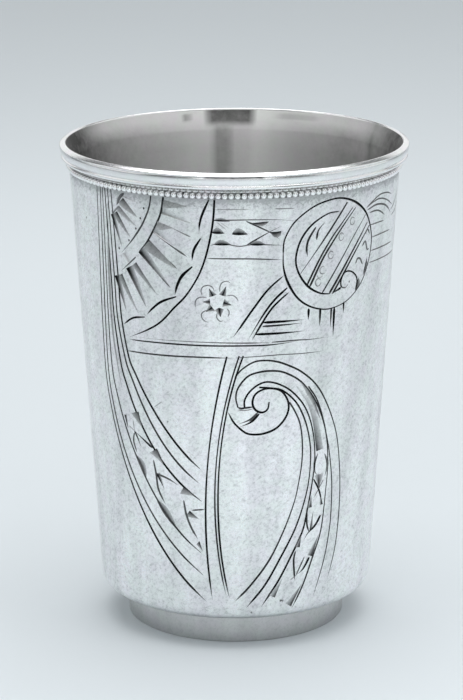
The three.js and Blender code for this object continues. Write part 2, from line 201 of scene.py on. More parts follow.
# How wide a groove is along its way: pairs of how far along, and the share of its full width.
EVEN = ((0, 0), (0.05, 0.75), (0.3, 1), (0.8, 0.95), (1, 0))
FADES = ((0, 0.5), (0.1, 1), (0.5, 0.8), (1, 0))
GROWS = ((0, 0), (0.5, 0.6), (0.85, 1), (1, 0.2))


def line(path, width=0.2, dark=0.9, swell=EVEN):
    """A plain V groove. swell says what share of the full width it has along the way."""
    path = evenly(path, STEP)
    share = np.interp(np.linspace(0, 1, len(path)), *zip(*swell))
    half = np.maximum(share * BITE * width / 2, THINNEST)
    half[-1] = 0
    if swell[0][1] == 0:
        half[0] = 0
    tones = np.full((len(path), 2), (dark, GROOVE_PALING))
    cuts.append(np.column_stack([path, half, half, GROOVE_DEPTH * half, tones]))


def slopes(width, share, steep, side):
    """How far a tipped cut reaches to its left and to its right. Its broad side is on the left of the
    way it goes if side is 1, and on the right if it is -1."""
    broad, narrow = (part * BROAD * width * share for part in (1 - steep, steep))
    return (broad, narrow) if side > 0 else (narrow, broad)


def flare(path, width, side, dark=0.6, light=0.15, fall=1.0):
    """A bright cut. It starts blunt and full and runs out to a point. It is painted dark where it bites and
    light at its point: black tarnish in the deep end, and painted shade for how its facet catches the light.
    """
    path = evenly(path, STEP)
    s = np.linspace(0, 1, len(path))
    share = (1 - s) ** fall
    tone = light + (dark - light) * (1 - s) ** 1.3
    rows = np.column_stack([path, *slopes(width, share, FLARE_STEEP, side), FLARE_DEPTH * width * share,
                            tone * DEEPEN, np.full(len(path), PALING)])
    start, ahead = rows[0].copy(), rows[0].copy()
    start[4] = 0
    forward = rows[1, :2] - rows[0, :2]
    ahead[:2] += BLUNT * forward / max(np.hypot(*forward), 1e-6)
    cuts.append(np.vstack([start, ahead, rows[1:]]))


def leaf(path, width, side, dark=0.6):
    """A leaf cut: it swells from a point to its full width part of the way along, then runs out."""
    path = evenly(path, STEP)
    s = np.linspace(0, 1, len(path))
    share = np.sin(math.pi * s**0.8)
    # Black tarnish and painted shade: darkest along the deep line, paler out along the broad slope.
    tones = np.full((len(path), 2), (dark * DEEPEN, PALING))
    cuts.append(np.column_stack([path, *slopes(width, share, LEAF_STEEP, side),
                                 LEAF_DEPTH * width * share, tones]))


def engrave(*strokes):
    """Plain grooves: for each its width, darkness and swell, then the places that it runs through."""
    for width, dark, swell, *places in strokes:
        line(through(*places), width, dark, swell)


def dot(u, t, size=0.26, dark=0.9):
    """A small pit left by the point of the graver."""
    line([(u - size / 2, t), (u, t), (u + size / 2, t)], size, dark, ((0, 0), (0.3, 1), (0.7, 1), (1, 0)))


print("stations every", STEP, "mm")

# %% [markdown]
# ## The left-hand sweep
# Six lines fall side by side from the moulding, then sweep apart to the foot of the stem. A line that
# is cut in one push gets wider as the wrist leans on it, so most of these are heaviest low down. Leaf
# cuts and short crossing strokes fill the band between the third and the fourth.

# %% Cut the sweep
TOP = WIRE_BOTTOM + 0.15  # cuts that start at the moulding run in under it
HEAVY_LOW = ((0, 0.4), (0.25, 0.6), (0.6, 0.72), (0.8, 1), (0.95, 1), (1, 0))
SLIM_TOP = ((0, 0.5), (0.3, 0.8), (0.6, 1), (0.94, 1), (1, 0.2))


def falling(top_u, a, b, c, d):
    """A line that drops from the moulding to a, then bows to d."""
    straight = [(top_u + (a[0] - top_u) * s, TOP + (a[1] - TOP) * s) for s in (0, 0.3, 0.6, 0.85)]
    return through(*straight, *bow(a, b, c, d, 8)[1:])


for top_u, bends, width, dark, swell in (
    (-22, ((-23.2, 47.5), (-24.1, 34.2), (-15.6, 16.3), (-4.9, 8)), 0.32, 0.95, HEAVY_LOW),
    (-21.2, ((-22.4, 47.7), (-23.2, 34), (-16.1, 20.4), (-5.3, 12.3)), 0.25, 0.9, SLIM_TOP),
    (-20.7, ((-21.5, 47.9), (-22, 37.6), (-14.1, 21.8), (-5.5, 15.9)), 0.25, 0.9, SLIM_TOP),
    (-20.2, ((-19.9, 48.2), (-18.1, 39), (-13.5, 29.6), (-5.3, 24.4)), 0.3, 0.95, SLIM_TOP),
    (-19.6, ((-19.1, 48.4), (-16.3, 40.6), (-12.7, 32.4), (-5.8, 27.4)), 0.28, 0.9, SLIM_TOP),
    (-18.9, ((-18.2, 48.5), (-16.2, 42.3), (-10.5, 33.6), (-5.4, 29.6)), 0.3, 0.95, SLIM_TOP),
):
    line(falling(top_u, *bends), width, dark, swell)
# A broad pale stroke beside the fourth line, and two hairlines between the others.
leaf(through((-20.1, 66), (-20.7, 58), (-20.7, 50), (-19.9, 44), (-19.1, 40.1)), 0.5, 1, 0.42)
engrave(
    (0.13, 0.6, EVEN, (-19.6, 70.6), (-20.1, 64.4), (-20.3, 59), (-20.6, 52)),
    (0.1, 0.35, EVEN, (-21.3, 66), (-21.8, 58), (-22, 50), (-21.6, 43)),
)

print("sweep", len(cuts), "cuts")

# %% Cut the leaves in the sweep
flare([(-19, 36.5), (-18.4, 34.4)], 0.42, 1, 0.95, 0.8, 0.6)
flare([(-16.1, 37.5), (-15.3, 35)], 1.3, -1, 0.75, 0.5)
flare([(-12.9, 32.1), (-12.2, 31), (-11.6, 29.6)], 1.3, -1, 0.72, 0.5)
leaf(through((-17, 30.4), (-16.2, 28.9), (-15.6, 27.8), (-15.1, 26.7)), 0.95, 1, 0.62)
leaf(through((-13.3, 23.9), (-12.3, 22.4), (-11, 20.8), (-9.6, 19.3)), 0.95, 1, 0.66)
flare([(-8.4, 26.4), (-7.4, 25.8), (-6.5, 25.2)], 1.05, -1, 0.62, 0.45)
flare([(-7.5, 22.7), (-6.8, 22.2), (-5.9, 21.6)], 1, -1, 0.75, 0.6)
flare([(-6, 17.9), (-5.4, 16.4)], 0.7, -1, 0.9, 0.75)
engrave(
    (0.12, 0.6, EVEN, (-18.1, 34.9), (-17, 34.3)),
    (0.14, 0.6, EVEN, (-17.2, 36.2), (-17, 34.3)),
    (0.34, 0.95, GROWS, (-17, 34.3), (-15, 33.1), (-13.5, 32.1)),
    (0.28, 0.9, FADES, (-17, 34.3), (-16.4, 33.3), (-15.8, 31.9)),
    (0.25, 0.85, EVEN, (-17, 34.1), (-17.3, 32.6), (-16.7, 30.8)),
    (0.3, 0.85, EVEN, (-13.5, 30.3), (-13.1, 28), (-12.8, 25.6), (-11.6, 23.3)),
    (0.3, 0.8, FADES, (-13.1, 28.1), (-11, 27.6), (-9.1, 26.7)),
)
flare([(-13, 28), (-11.7, 25.8)], 0.66, 1, 0.85, 0.65)
engrave(
    (0.3, 0.8, EVEN, (-8.4, 24.5), (-8, 22.1), (-7.2, 20), (-6.1, 18.2)),
    (0.2, 0.8, EVEN, (-7.1, 22.9), (-4.9, 23.2)),
)
dot(-4.8, 23.3, 0.34)
print("leaves in the sweep, total", len(cuts), "cuts")

# %% [markdown]
# ## The stem and the waist band
# A stem of three lines leans up through the middle of the front. The two on its right run as a close
# pair. A band of thin lines crosses it at the waist and comes to a point at the left, where the fan's
# edge starts.

# %% Cut the stem and the waist
STEM = ((0, 0.8), (0.1, 0.85), (0.4, 0.7), (0.7, 1), (0.92, 0.9), (1, 0))
line(bow((-1.2, 47.7), (-4.4, 35.2), (-5.9, 21.9), (-3.9, 8.3)), 0.28, 0.95, STEM)
line(bow((0.6, 47.8), (-3.4, 35.5), (-4.6, 21.9), (-1.6, 9.1)), 0.24, 0.9, STEM)
line(bow((1.2, 47.8), (-3, 36.5), (-4.1, 20.3), (-1, 8.6)), 0.27, 0.95, STEM)

engrave(
    (0.22, 0.9, EVEN, (-17, 48.9), (-9.5, 49.25), (0, 49.4), (5.2, 49.4), (9.7, 49.7)),
    (0.17, 0.75, GROWS, (-16.2, 49.5), (-6.8, 49.85), (0, 49.85), (5.1, 49.75)),
    (0.19, 0.8, FADES, (5.4, 49.8), (9, 49.8), (11.4, 49.65), (14.6, 49.6)),
    (0.22, 0.85, EVEN, (-17.6, 47), (-10.5, 47.3), (-5.2, 47.5), (0, 47.5)),
    (0.14, 0.7, EVEN, (0, 47.55), (6.1, 47.75), (10, 47.6), (13.9, 47.5)),
)

print("stem and waist, total", len(cuts), "cuts")

# %% [markdown]
# ## The fan
# The upper left corner holds a fan. Its centre lies out of sight at the moulding. Two arcs make its
# hub, bright-cut rays spread from them, and scallops follow its outer edge. A ray is the plainest
# bright cut there is: blunt and dark at the hub, thin and bright at the tip.

# %% Cut the fan
FAN_EDGE = ((0, 0.75), (0.15, 0.8), (0.5, 0.65), (0.6, 0.8), (0.85, 0.7), (1, 0))
engrave(
    (0.32, 0.95, FAN_EDGE, (-2.7, TOP), (-2.9, 69), (-3.3, 66.3), (-4.1, 62.9), (-5.2, 60), (-7, 57),
     (-8.8, 55), (-11.1, 52.5), (-13.5, 50.9), (-17.1, 49.15)),
    (0.24, 0.85, ((0, 0.8), (0.6, 1), (1, 0)),
     (-11.8, TOP), (-12.2, 70), (-13.1, 67.9), (-14, 66.4), (-15.6, 64.3), (-17.6, 62.2)),
    (0.27, 0.9, ((0, 1), (0.7, 0.9), (1, 0.2)),
     (-9.9, TOP), (-10.4, 69.4), (-11.3, 67.3), (-12.7, 64.8), (-14.3, 62.9)),
    (0.2, 0.75, FADES, (-14.8, 62.1), (-16, 61), (-17.8, 59.4)),
)
for scallop, width in (
    (((-3.4, TOP), (-4.4, 69.6), (-4.8, 68.1), (-4.9, 66.9)), 0.3),
    (((-4.7, 65.9), (-5.7, 64.1), (-6, 62.4)), 0.32),
    (((-6, 61.5), (-7.5, 60), (-8.3, 58.4), (-8.7, 56.9)), 0.38),
    (((-8.5, 56.7), (-10.8, 55.7), (-12.4, 54.4), (-13.4, 53.3)), 0.32),
    (((-13.8, 52.9), (-16, 52.4), (-17.9, 51.1)), 0.28),
):
    line(through(*scallop), width, 0.95, ((0, 0.5), (0.35, 1), (0.8, 0.8), (1, 0)))

# Rays outside the hub. Each is blunt at its root and dark along one edge, where the graver dug in, and
# the two lowest pairs share a root. root, tip, width, side of the broad slope, darkness along the edge.
for root, tip, width, side, dark in (
    ((-10, 71.3), (-6.4, 70.7), 1.1, -1, 0.3),
    ((-10.3, 69.4), (-6, 68.2), 1, 1, 0.4),
    ((-11.1, 67.9), (-8.6, 67.3), 1.2, -1, 0.28),
    ((-11.8, 66.4), (-8.6, 64.5), 1.1, 1, 0.36),
    ((-12.5, 64.9), (-8.2, 61), 1.5, -1, 0.5),
    ((-14.2, 63), (-9.4, 58.1), 1.15, 1, 0.75),
    ((-14.9, 61.2), (-11.4, 56.6), 0.8, -1, 0.68),
    ((-16.6, 60.1), (-13.4, 54.4), 1.2, 1, 0.78),
    ((-17.7, 59), (-14.8, 53.2), 0.85, -1, 0.68),
    ((-19.1, 58.5), (-17.2, 53.2), 1, 1, 0.8),
):
    flare([root, tip], width, side, dark, dark * 0.5, 0.8)
for start, tip, width, dark in (
    ((-9.6, 67.6), (-6, 66), 0.19, 0.6),
    ((-11.5, 66.1), (-6.7, 63), 0.25, 0.75),
    ((-11.6, 64.1), (-8.2, 61), 0.2, 0.75),
    ((-12.4, 61.1), (-9.3, 58), 0.18, 0.8),
    ((-9.6, 69.1), (-6, 68.2), 0.14, 0.45),
):
    line([start, tip], width, dark, GROWS)

# Rays inside the hub, and the dark knot that they spring from.
for root, tip, width, side, dark in (
    ((-16.7, 70.8), (-14.2, 68.3), 1.2, -1, 0.68),
    ((-17.4, 69.4), (-14.4, 66.8), 0.8, -1, 0.55),
    ((-18, 68.6), (-15.6, 65), 0.85, -1, 0.82),
    ((-19.1, 68), (-17.3, 63.1), 0.7, 1, 0.85),
):
    flare([root, tip], width, side, dark, dark * 0.5, 0.8)
flare([(-17.1, 62.3), (-16.1, 60.9)], 0.7, 1, 0.2, 0.15, 0.3)
engrave(
    (0.26, 0.6, EVEN, (-17.3, 69.6), (-18.1, 68.9), (-19, 68)),
    (0.42, 0.7, EVEN, (-16.3, 71.7), (-17.2, 70.9), (-17.9, 69.6)),
    (0.14, 0.3, FADES, (-16.8, 71.2), (-13.4, 70.4)),
)
for place in ((-13.05, 69.8), (-13.7, 68.2), (-14.55, 66.5), (-15.9, 64.5), (-17.9, 62.95)):
    dot(*place, 0.3)
print("fan, total", len(cuts), "cuts")

# %% [markdown]
# ## Lattice and flower
# Between the fan and the medallion run four level lines with small dark triangles and a cross between
# them, and a six-petalled flower sits below. The triangles are single pushes of the flat graver; the
# petals are only scratched.

# %% Cut the lattice and the flower
engrave(
    (0.11, 0.45, EVEN, (-2.6, 70.4), (2.4, 70.4)),
    (0.14, 0.6, EVEN, (5.4, 70.35), (8.4, 70.2)),
    (0.17, 0.75, FADES, (-2.9, 68.75), (2.1, 68.8), (6, 68.65), (9.2, 68.2)),
    (0.15, 0.75, EVEN, (-3.4, 64.9), (-2.6, 65.1), (-1.4, 65.25), (-0.3, 64.95), (0.8, 64.8), (2.1, 65),
     (3.4, 65), (6.9, 64.7)),
    (0.18, 0.8, EVEN, (-3.9, 62.9), (2.1, 62.85), (6.8, 62.5)),
    (0.2, 0.9, FADES, (1.6, 68.6), (4.7, 66.9), (6.3, 65.6)),
    (0.22, 0.9, GROWS, (6.6, 67.7), (4.7, 66.8), (1.5, 64.9)),
    (0.1, 0.4, EVEN, (-2.5, 68.5), (-1.1, 67.3)),
    (0.09, 0.3, EVEN, (-2, 68.5), (-0.7, 67.5)),
)
for path, width in (
    (((-2.9, 68.7), (-2, 68.65), (-0.6, 68.6)), 0.45),
    (((-3.1, 66.8), (-2.4, 66.8), (-1.4, 66.75)), 0.8),
    (((-0.4, 66.65), (0.6, 66.65), (1.8, 66.6)), 0.85),
    (((-2.9, 65), (-1.8, 65.05), (-0.4, 65)), 0.7),
    (((4.7, 68.45), (3.4, 68.3), (2, 68.3)), 0.5),
    (((6.5, 66.9), (5.8, 66.7), (4.9, 66.85)), 0.75),
    (((2, 65), (3.2, 64.95), (4.4, 64.9)), 0.65),
):
    leaf(through(*path), width, 1, 0.85)

for base, tip, width in (
    ((-3.1, 57.1), (-3.65, 58.3), 0.55),
    ((-1.75, 57.2), (-1.2, 58.7), 0.5),
    ((-1.65, 56.1), (-0.45, 55.75), 0.6),
    ((-2.25, 55.3), (-2.05, 53.9), 0.75),
    ((-3.2, 55.35), (-4.15, 54.65), 0.6),
    ((-3.5, 56.2), (-4.6, 56.15), 0.45),
):
    flare([base, tip], width, 1, 0.9, 0.8)
    flare([base, tip], width, -1, 0.9, 0.8)
for petal in (
    ((-4.6, 57.1), (-4.8, 57.8), (-4.5, 58.5), (-3.7, 58.75), (-3.1, 58.4), (-2.9, 57.7)),
    ((-2.1, 57.7), (-2.1, 58.5), (-1.8, 59.2), (-1.1, 59.45), (-0.5, 59.1)),
    ((-1.2, 57.15), (-0.4, 57.3), (0.2, 56.9), (0.5, 56.3)),
    ((-1.2, 55.3), (-0.8, 54.7), (-1, 53.9)),
    ((-2.5, 54.6), (-2.6, 53.8), (-2.1, 53.2), (-1.6, 53.4)),
    ((-3.2, 54.9), (-4.2, 54.8), (-4.8, 54.3), (-4.7, 53.6), (-4.2, 53.1), (-3.6, 53.1)),
    ((-3.9, 56.8), (-4.7, 56.9), (-5.4, 56.6), (-5.7, 55.9), (-5.6, 55.1)),
):
    line(through(*petal), 0.15, 0.6)

print("lattice and flower, total", len(cuts), "cuts")

# %% [markdown]
# ## The medallion
# A round medallion hangs at the upper right: a double ring, bars slanting across it in a slight bow
# with tiny stamped rings between them, and a curl with a dark point at its foot. Its rim is heaviest
# where the graver leaned, at the left and the upper right.

# %% Cut the medallion
RIM = ((0, 0.55), (0.1, 0.6), (0.24, 0.7), (0.32, 1), (0.4, 0.75), (0.52, 0.5), (0.7, 0.45),
       (0.8, 0.7), (0.9, 1), (1, 0.3))
INNER_RIM = ((0, 0.5), (0.3, 0.9), (0.6, 0.8), (0.8, 1), (1, 0.5))
engrave(
    (0.32, 0.95, RIM,
     (6.8, 63.6), (7, 65.6), (8.3, 68), (10.7, 69.9), (13, 70.75), (15.7, 70.9), (18.6, 69.8), (21.1, 67.6),
     (22.6, 64.3), (22.6, 61.1), (21.3, 57.7), (19.3, 55.6), (17, 54.4), (14, 54), (11.2, 54.8), (9.1, 56.4),
     (7.6, 58.9), (6.9, 61.3), (6.8, 63.9)),
    (0.3, 0.95, INNER_RIM, (15.4, 68.9), (13.5, 68.8), (11.1, 67.5), (9.4, 65.3), (8.7, 62.5), (9.2, 60.2),
     (10.7, 58), (12.7, 56.7), (14.6, 56.3)),
    (0.34, 0.95, GROWS, (14.6, 56.3), (15.6, 56.6), (16.6, 57)),
    (0.29, 0.9, EVEN, (11.7, 67.1), (10.6, 65.3), (10.3, 63.9), (10.5, 62.6)),
    (0.32, 0.9, GROWS, (13.2, 67.7), (12.1, 66.5), (11.8, 65)),
)
BAR = ((0, 0.5), (0.3, 0.8), (0.6, 1), (0.95, 1.1), (1, 0.8))
line([(16.9, 70.1), (9.4, 60)], 0.26, 0.9, ((0, 0.9), (0.4, 1), (0.7, 0.5), (1, 0.3)))
for bar, width in (
    (((18, 69.1), (16.25, 67.2), (14.3, 64.9), (12.4, 61.9), (10.5, 58.1)), 0.26),
    (((18.6, 69), (16.8, 67.1), (15, 64.9), (12.95, 61.9), (10.95, 57.8)), 0.28),
    (((20.9, 67.5), (18.75, 64.9), (16.65, 61.9), (13, 56.5)), 0.19),
    (((21.35, 66.2), (18.15, 61.9), (14.3, 56.3)), 0.31),
    (((21.9, 65.6), (18.85, 61.9), (14.9, 56.2)), 0.28),
):
    line(through(*bar), width, 0.9, BAR)
for centre in ((18.1, 67), (16.1, 64.9), (14.35, 62.35), (12.35, 58.4)):
    line(ring(centre, (0.45, 0.6), 20, 370), 0.16, 0.55)
line(ring((13.1, 60.2), (0.55, 0.6), 60, 330), 0.16, 0.5)
line(ring((12.6, 59.5), (0.5, 0.4), 150, 360), 0.13, 0.4)
engrave(
    (0.3, 0.95, ((0, 0.8), (0.5, 0.7), (0.8, 0.8), (0.9, 1.2), (1, 0.4)), (16.6, 57), (16.4, 57.6),
     (16.6, 58.6), (17.3, 59.3), (18.5, 59.1), (19.6, 58.1), (19.8, 57), (19.5, 55.9)),
    (0.2, 0.7, FADES, (16.6, 57), (17.4, 56.8), (18, 57.4)),
)
dot(18.1, 57.6, 0.3, 0.6)
for squiggle in (
    ((21, 64.4), (21.6, 65.1), (22.2, 64.2)),
    ((20.5, 62.6), (21.2, 63.3), (21.8, 61.9), (22.4, 62.1)),
    ((19.2, 60.1), (19.6, 60.9), (20.2, 60.8), (20.9, 59.7)),
    ((21.9, 60.6), (21.6, 59.4), (21.2, 58.2)),
):
    line(through(*squiggle), 0.27, 0.75)
leaf([(21.9, 60.2), (21.2, 58)], 0.5, 1, 0.75)
leaf([(20.1, 57.8), (19.6, 55.8)], 0.6, 1, 0.95)

print("medallion, total", len(cuts), "cuts")

# %% Cut what hangs from the medallion
for plume, width in (
    (((21, 68.5), (22.6, 69.3), (24.5, 69.9), (26.9, 69.7), (29, 69)), 0.2),
    (((21, 68.5), (22.7, 69.1), (24.6, 69.25), (27.1, 68.5), (29.8, 67.1)), 0.2),
    (((21.2, 68.1), (23.4, 68.5), (25.5, 68.2), (27.3, 67.4), (28.9, 66.2)), 0.26),
    (((21.8, 67.6), (23.6, 67.6), (24.9, 67.2), (26.5, 66.3)), 0.22),
    (((28.8, 66.6), (30.8, 67.3), (32.6, 69)), 0.16),
    (((29.4, 65.6), (31.6, 66), (33.6, 67.2)), 0.16),
):
    line(through(*plume), width, 0.75)
for path, width in (
    (((21.7, 65.6), (24, 65.6), (26.4, 65.5)), 0.18),
    (((22.6, 63.6), (26, 63.6), (29.6, 63.4)), 0.18),
    (((22.7, 61.5), (27, 61.4), (31, 61.2)), 0.19),
    (((22.4, 59.7), (27, 59.6), (33, 59.4)), 0.17),
):
    line(through(*path), width, 0.7)
engrave(
    (0.27, 0.95, EVEN, (6.9, 60), (4.7, 58), (2.6, 55.1), (0.9, 52.5), (-0.3, 50.7)),
    (0.3, 0.95, FADES, (7.5, 58.1), (5.7, 56.4), (4.1, 54.2), (1.8, 50.2)),
    (0.26, 0.95, EVEN, (7.8, 57.4), (6.4, 56.2), (4.9, 54.5), (2.4, 50.2)),
    (0.36, 0.95, FADES, (4.1, 52.95), (10.3, 52.9)),
    (0.27, 0.9, FADES, (4, 52.35), (10.1, 52.4)),
    (0.34, 0.95, FADES, (3, 51.15), (10.5, 51.1)),
)
for u, top, bottom, width in ((10.95, 54.5, 52.7, 0.36), (12.9, 54.3, 51.4, 0.34), (14.85, 54.1, 50.9, 0.28),
                              (15.4, 54, 49.4, 0.4), (17.2, 54.6, 52.8, 0.3)):
    line([(u, top), (u, bottom)], width, 0.95, FADES)
print("plume and steps, total", len(cuts), "cuts")

# %% [markdown]
# ## The scroll
# The largest motif springs from the stem, arches over and sweeps down to the right, round a coiled eye.
# Its band is filled at the top by one broad bright cut and lower down by lozenges and arrow cuts.

# %% Cut the scroll
SCROLL = ((0, 0.7), (0.15, 1), (0.5, 0.65), (0.8, 0.75), (0.93, 0.6), (1, 0))
SCROLL_LOW = ((0, 0.8), (0.2, 0.8), (0.45, 0.6), (0.75, 1), (0.95, 1), (1, 0))
engrave(
    (0.26, 0.9, SCROLL, (0, 44.5), (1, 45.7), (2.7, 46.8), (4.4, 47), (6.2, 46.7), (8.1, 45.9), (10, 44.8),
     (12.2, 42.9), (14, 40.5), (15.9, 36.8), (17.3, 33), (18.2, 28.2), (18.6, 24), (18.6, 19.5), (18.1, 14.7),
     (16.6, 9.6)),
    (0.27, 0.9, SCROLL, (0.4, 39.7), (0.1, 41.3), (0.5, 42.9), (1.9, 44.6), (3.6, 45.2), (5.3, 45.3),
     (7.1, 45), (9.3, 43.8), (10.8, 42.4), (12.5, 40.1), (13.9, 37.3), (14.9, 34.4), (15.8, 31), (16.6, 26.3),
     (16.8, 21.5), (16.6, 18), (15.7, 13.3), (13.7, 7.4)),
    (0.29, 0.95, SCROLL_LOW, (1.4, 39.7), (1.4, 40.8), (2.1, 42.1), (3.4, 43.2), (4.8, 43.6), (6.6, 43.1),
     (8.6, 41.8), (10.6, 39.5), (11.9, 36.8), (12.7, 33.7), (13, 30.4), (12.75, 27), (11.85, 21.6),
     (11.2, 18.9), (9.5, 15.5), (7.1, 11.2), (4.2, 7.1)),
    (0.29, 0.95, SCROLL_LOW, (3.6, 42.8), (5.3, 42.6), (7.1, 42.1), (9.2, 40.2), (10.6, 37.8), (11.6, 35),
     (12.2, 31.6), (12.1, 27.5), (11.4, 23.9), (9.9, 19.6), (7.4, 15), (4.8, 10.7), (1.7, 7.1)),
    (0.27, 0.9, SCROLL_LOW, (8.3, 40.1), (9.2, 38.6), (10.1, 36.6), (10.6, 34), (10.7, 30.5), (10.2, 26.7),
     (9.5, 23.7), (7.9, 19.5), (5.5, 14.8), (2.4, 10.8), (-0.2, 8.2)),
    (0.26, 0.9, SCROLL_LOW, (11.4, 42.2), (12.9, 40), (14.2, 36.8), (15.2, 33), (15.6, 29), (15.4, 24.5),
     (14.8, 18.5), (13.3, 14.2), (11.6, 9.9), (9.7, 6.4)),
)

# The coiled eye, its inner curl, and the strokes that tie it to the scroll.
line(through((5.1, 40.4), (4.9, 39.3), (4.1, 38.8), (3.1, 39.2), (2.6, 40.2), (2.8, 41.4), (3.6, 42.2),
             (5, 42.55), (6.8, 42.1), (7.9, 40.7), (8.2, 39.1), (7.6, 37.5), (6.2, 36.1), (4.2, 35.4),
             (2.3, 35.4), (1.2, 35.9), (-0.2, 37.3), (-1.1, 39)), 0.3, 0.95,
     ((0, 0.6), (0.1, 1), (0.3, 0.8), (0.7, 1), (0.95, 0.8), (1, 0.2)))
line([(0.3, 39.7), (0.9, 39.55), (2.7, 39.75)], 0.26, 0.9)
line([(0.4, 39.35), (1.4, 39.2), (2.7, 39.4)], 0.15, 0.6)
engrave(
    (0.24, 0.85, FADES, (3.4, 38.8), (2.1, 37.7), (0.3, 37)),
    (0.3, 0.95, FADES, (3.6, 38.6), (2.4, 37.35), (0.6, 36.6)),
    (0.26, 0.8, EVEN, (3.4, 38.7), (2.1, 37.4)),
)

# The broad cuts at the top of the band: they end square at the bottom, so they are cut upwards.
flare(through((13.4, 31.6), (13, 33.8), (12.4, 36.7), (11.4, 39.5), (10.4, 41), (9.3, 42.6)), 1.05, -1,
      0.72, 0.2, 0.55)
leaf(through((9.8, 43.45), (10.9, 42.3), (12.3, 40.1), (13.2, 38), (13.9, 36.4)), 0.5, -1, 0.5)

print("scroll, total", len(cuts), "cuts")

# %% Cut the leaves in the scroll
leaf(through((13.6, 31.2), (13.15, 29.8), (13.15, 28.4), (13.6, 27.7)), 0.36, -1, 0.75)
leaf(through((14.8, 31), (15.4, 29.1), (15.1, 27.2)), 0.42, 1, 0.75)
flare([(13.95, 27.75), (14.05, 25.4)], 0.8, 1, 0.5, 0.85)
flare([(13.95, 27.75), (14.05, 25.4)], 0.8, -1, 0.5, 0.85)
engrave(
    (0.27, 0.95, EVEN, (12.9, 27.2), (14, 25.3), (14.7, 23.3)),
    (0.16, 0.7, EVEN, (14.9, 26.8), (14, 25.4), (13.1, 24)),
)
flare([(14.9, 22.7), (14.4, 24.4)], 0.48, 1, 0.95, 0.8)
flare([(12.7, 22.6), (12.65, 24.6)], 0.72, 1, 0.7, 0.4)
line(through((11.9, 22.6), (12, 20), (12.5, 18.5)), 0.28, 0.9)
flare([(12.6, 18.9), (13.1, 22)], 0.46, -1, 0.95, 0.75)
line(through((14.6, 21), (13.6, 19.5), (12.3, 18.5), (11.5, 17.4)), 0.38, 0.95, FADES)
flare([(10.75, 16.35), (11.1, 18.9)], 0.66, 1, 0.7, 0.4)
flare([(13.2, 14.5), (14.4, 17.9)], 0.85, 1, 0.66, 0.5)
engrave(
    (0.29, 0.9, EVEN, (10.1, 15.9), (9.8, 14.3), (10.1, 11)),
    (0.22, 0.8, EVEN, (11.8, 14.7), (10.2, 11.6)),
    (0.38, 0.95, FADES, (12.7, 14.4), (11.6, 12.7), (10.5, 11.9)),
    (0.14, 0.5, EVEN, (10.3, 11.8), (9.2, 11.1)),
)
flare([(6.5, 8.6), (7.9, 11.7)], 0.9, 1, 0.55, 0.3)
flare([(7.5, 8.05), (8.2, 8), (7.9, 7.5)], 0.3, -1, 0.9, 0.8)
flare([(9.45, 6.8), (11.5, 10.3)], 0.95, 1, 0.55, 0.55)
print("leaves in the scroll, total", len(cuts), "cuts")

# %% [markdown]
# ## Nicks, scratches and the back
# Use has left a few nicks and scratches on the front. The back is plainer: a round reserve, left bare
# for a name that was never cut, with bright-cut rays round it and a spray rising on each side.

# %% Cut the nicks, the scratches and the back
engrave(
    (0.13, 0.4, EVEN, (-12.9, 38.8), (-11.4, 39.9)),
    (0.12, 0.25, EVEN, (-10.8, 41.1), (-9.9, 41.1)),
)
dot(-10.6, 36.8, 0.26, 0.5)
dot(2.6, 6.3, 0.3, 0.6)
dot(5.4, 48.3, 0.22, 0.35)
dot(-25.8, 66.2, 0.34, 0.5)
rng = np.random.default_rng(7)
SCRATCHES = 46
for _ in range(SCRATCHES):
    place = np.array([rng.uniform(-40, 95), rng.uniform(9, 66)])
    along = rng.uniform(-0.5, 0.5) + (0 if rng.random() < 0.6 else math.pi / 2)
    length = rng.uniform(0.8, 4.5)
    line([place, place + length * np.array([math.cos(along), math.sin(along)])], 0.05, 0.12)

BACK = math.pi * MEAN_RADIUS
reserve = (BACK, 50)
line(ring(reserve, 10, 86, 446), 0.32, 0.95, ((0, 0.6), (0.3, 1), (0.7, 0.7), (1, 0.6)))
line(ring(reserve, 9.2, 20, 340), 0.2, 0.85, FADES)
RAYS = 28
for i in range(RAYS):
    angle = FULL_TURN * (i + 0.5) / RAYS
    toward = np.array([math.cos(angle), math.sin(angle)])
    flare([reserve + 10.5 * toward, reserve + (13.2 if i % 2 else 12.2) * toward], 0.8, 1, 0.7, 0.3)


def at_back(side, *places):
    """Places given by how far they lie to one side of the middle of the back."""
    return [(BACK + side * u, t) for u, t in places]


for side in (-1, 1):
    stalk = bow(*at_back(side, (1.2, 8.4), (7.2, 14), (14.5, 22), (16, 38)))
    line(stalk, 0.34, 0.95, SLIM_TOP)
    line(bow(*at_back(side, (0.6, 10.4), (5.6, 16), (12, 23), (13.6, 33))), 0.22, 0.85, SLIM_TOP)
    roots = evenly(stalk, 3.2)
    for root, ahead in zip(roots[1:-1], roots[2:]):
        out = np.array([ahead[1] - root[1], root[0] - ahead[0]]) * side
        out = out / np.hypot(*out)
        leaf([root + 0.5 * out, root + 1.6 * out + 0.35 * (ahead - root),
              root + 2.4 * out + 0.95 * (ahead - root)], 0.8, side, 0.7)
    line(through(*at_back(side, (17.5, 30), (19.5, 44), (17, 58), (12, TOP))), 0.26, 0.9)
    line(through(*at_back(side, (18.3, 30), (20.4, 44), (17.9, 58), (13, TOP))), 0.18, 0.8)
print("all", len(cuts), "cuts,", sum(len(c) for c in cuts), "stations")

# %% [markdown]
# ## From cuts to a mesh
# The wall has to be an even grid where it is plain, with extra points only along the cuts. A constrained
# triangulation does exactly that: it is given the grid's points and the cuts' edges and deep lines, and
# joins them all into triangles that keep those lines. How deep a point lies is then found by dropping
# it onto the cuts, so that crossing grooves meet at their true depth.

# %% Lay the cuts out as loose facets
plan_points, plan_edges = [], []
facet_points, facets, facet_tone = [], [], []


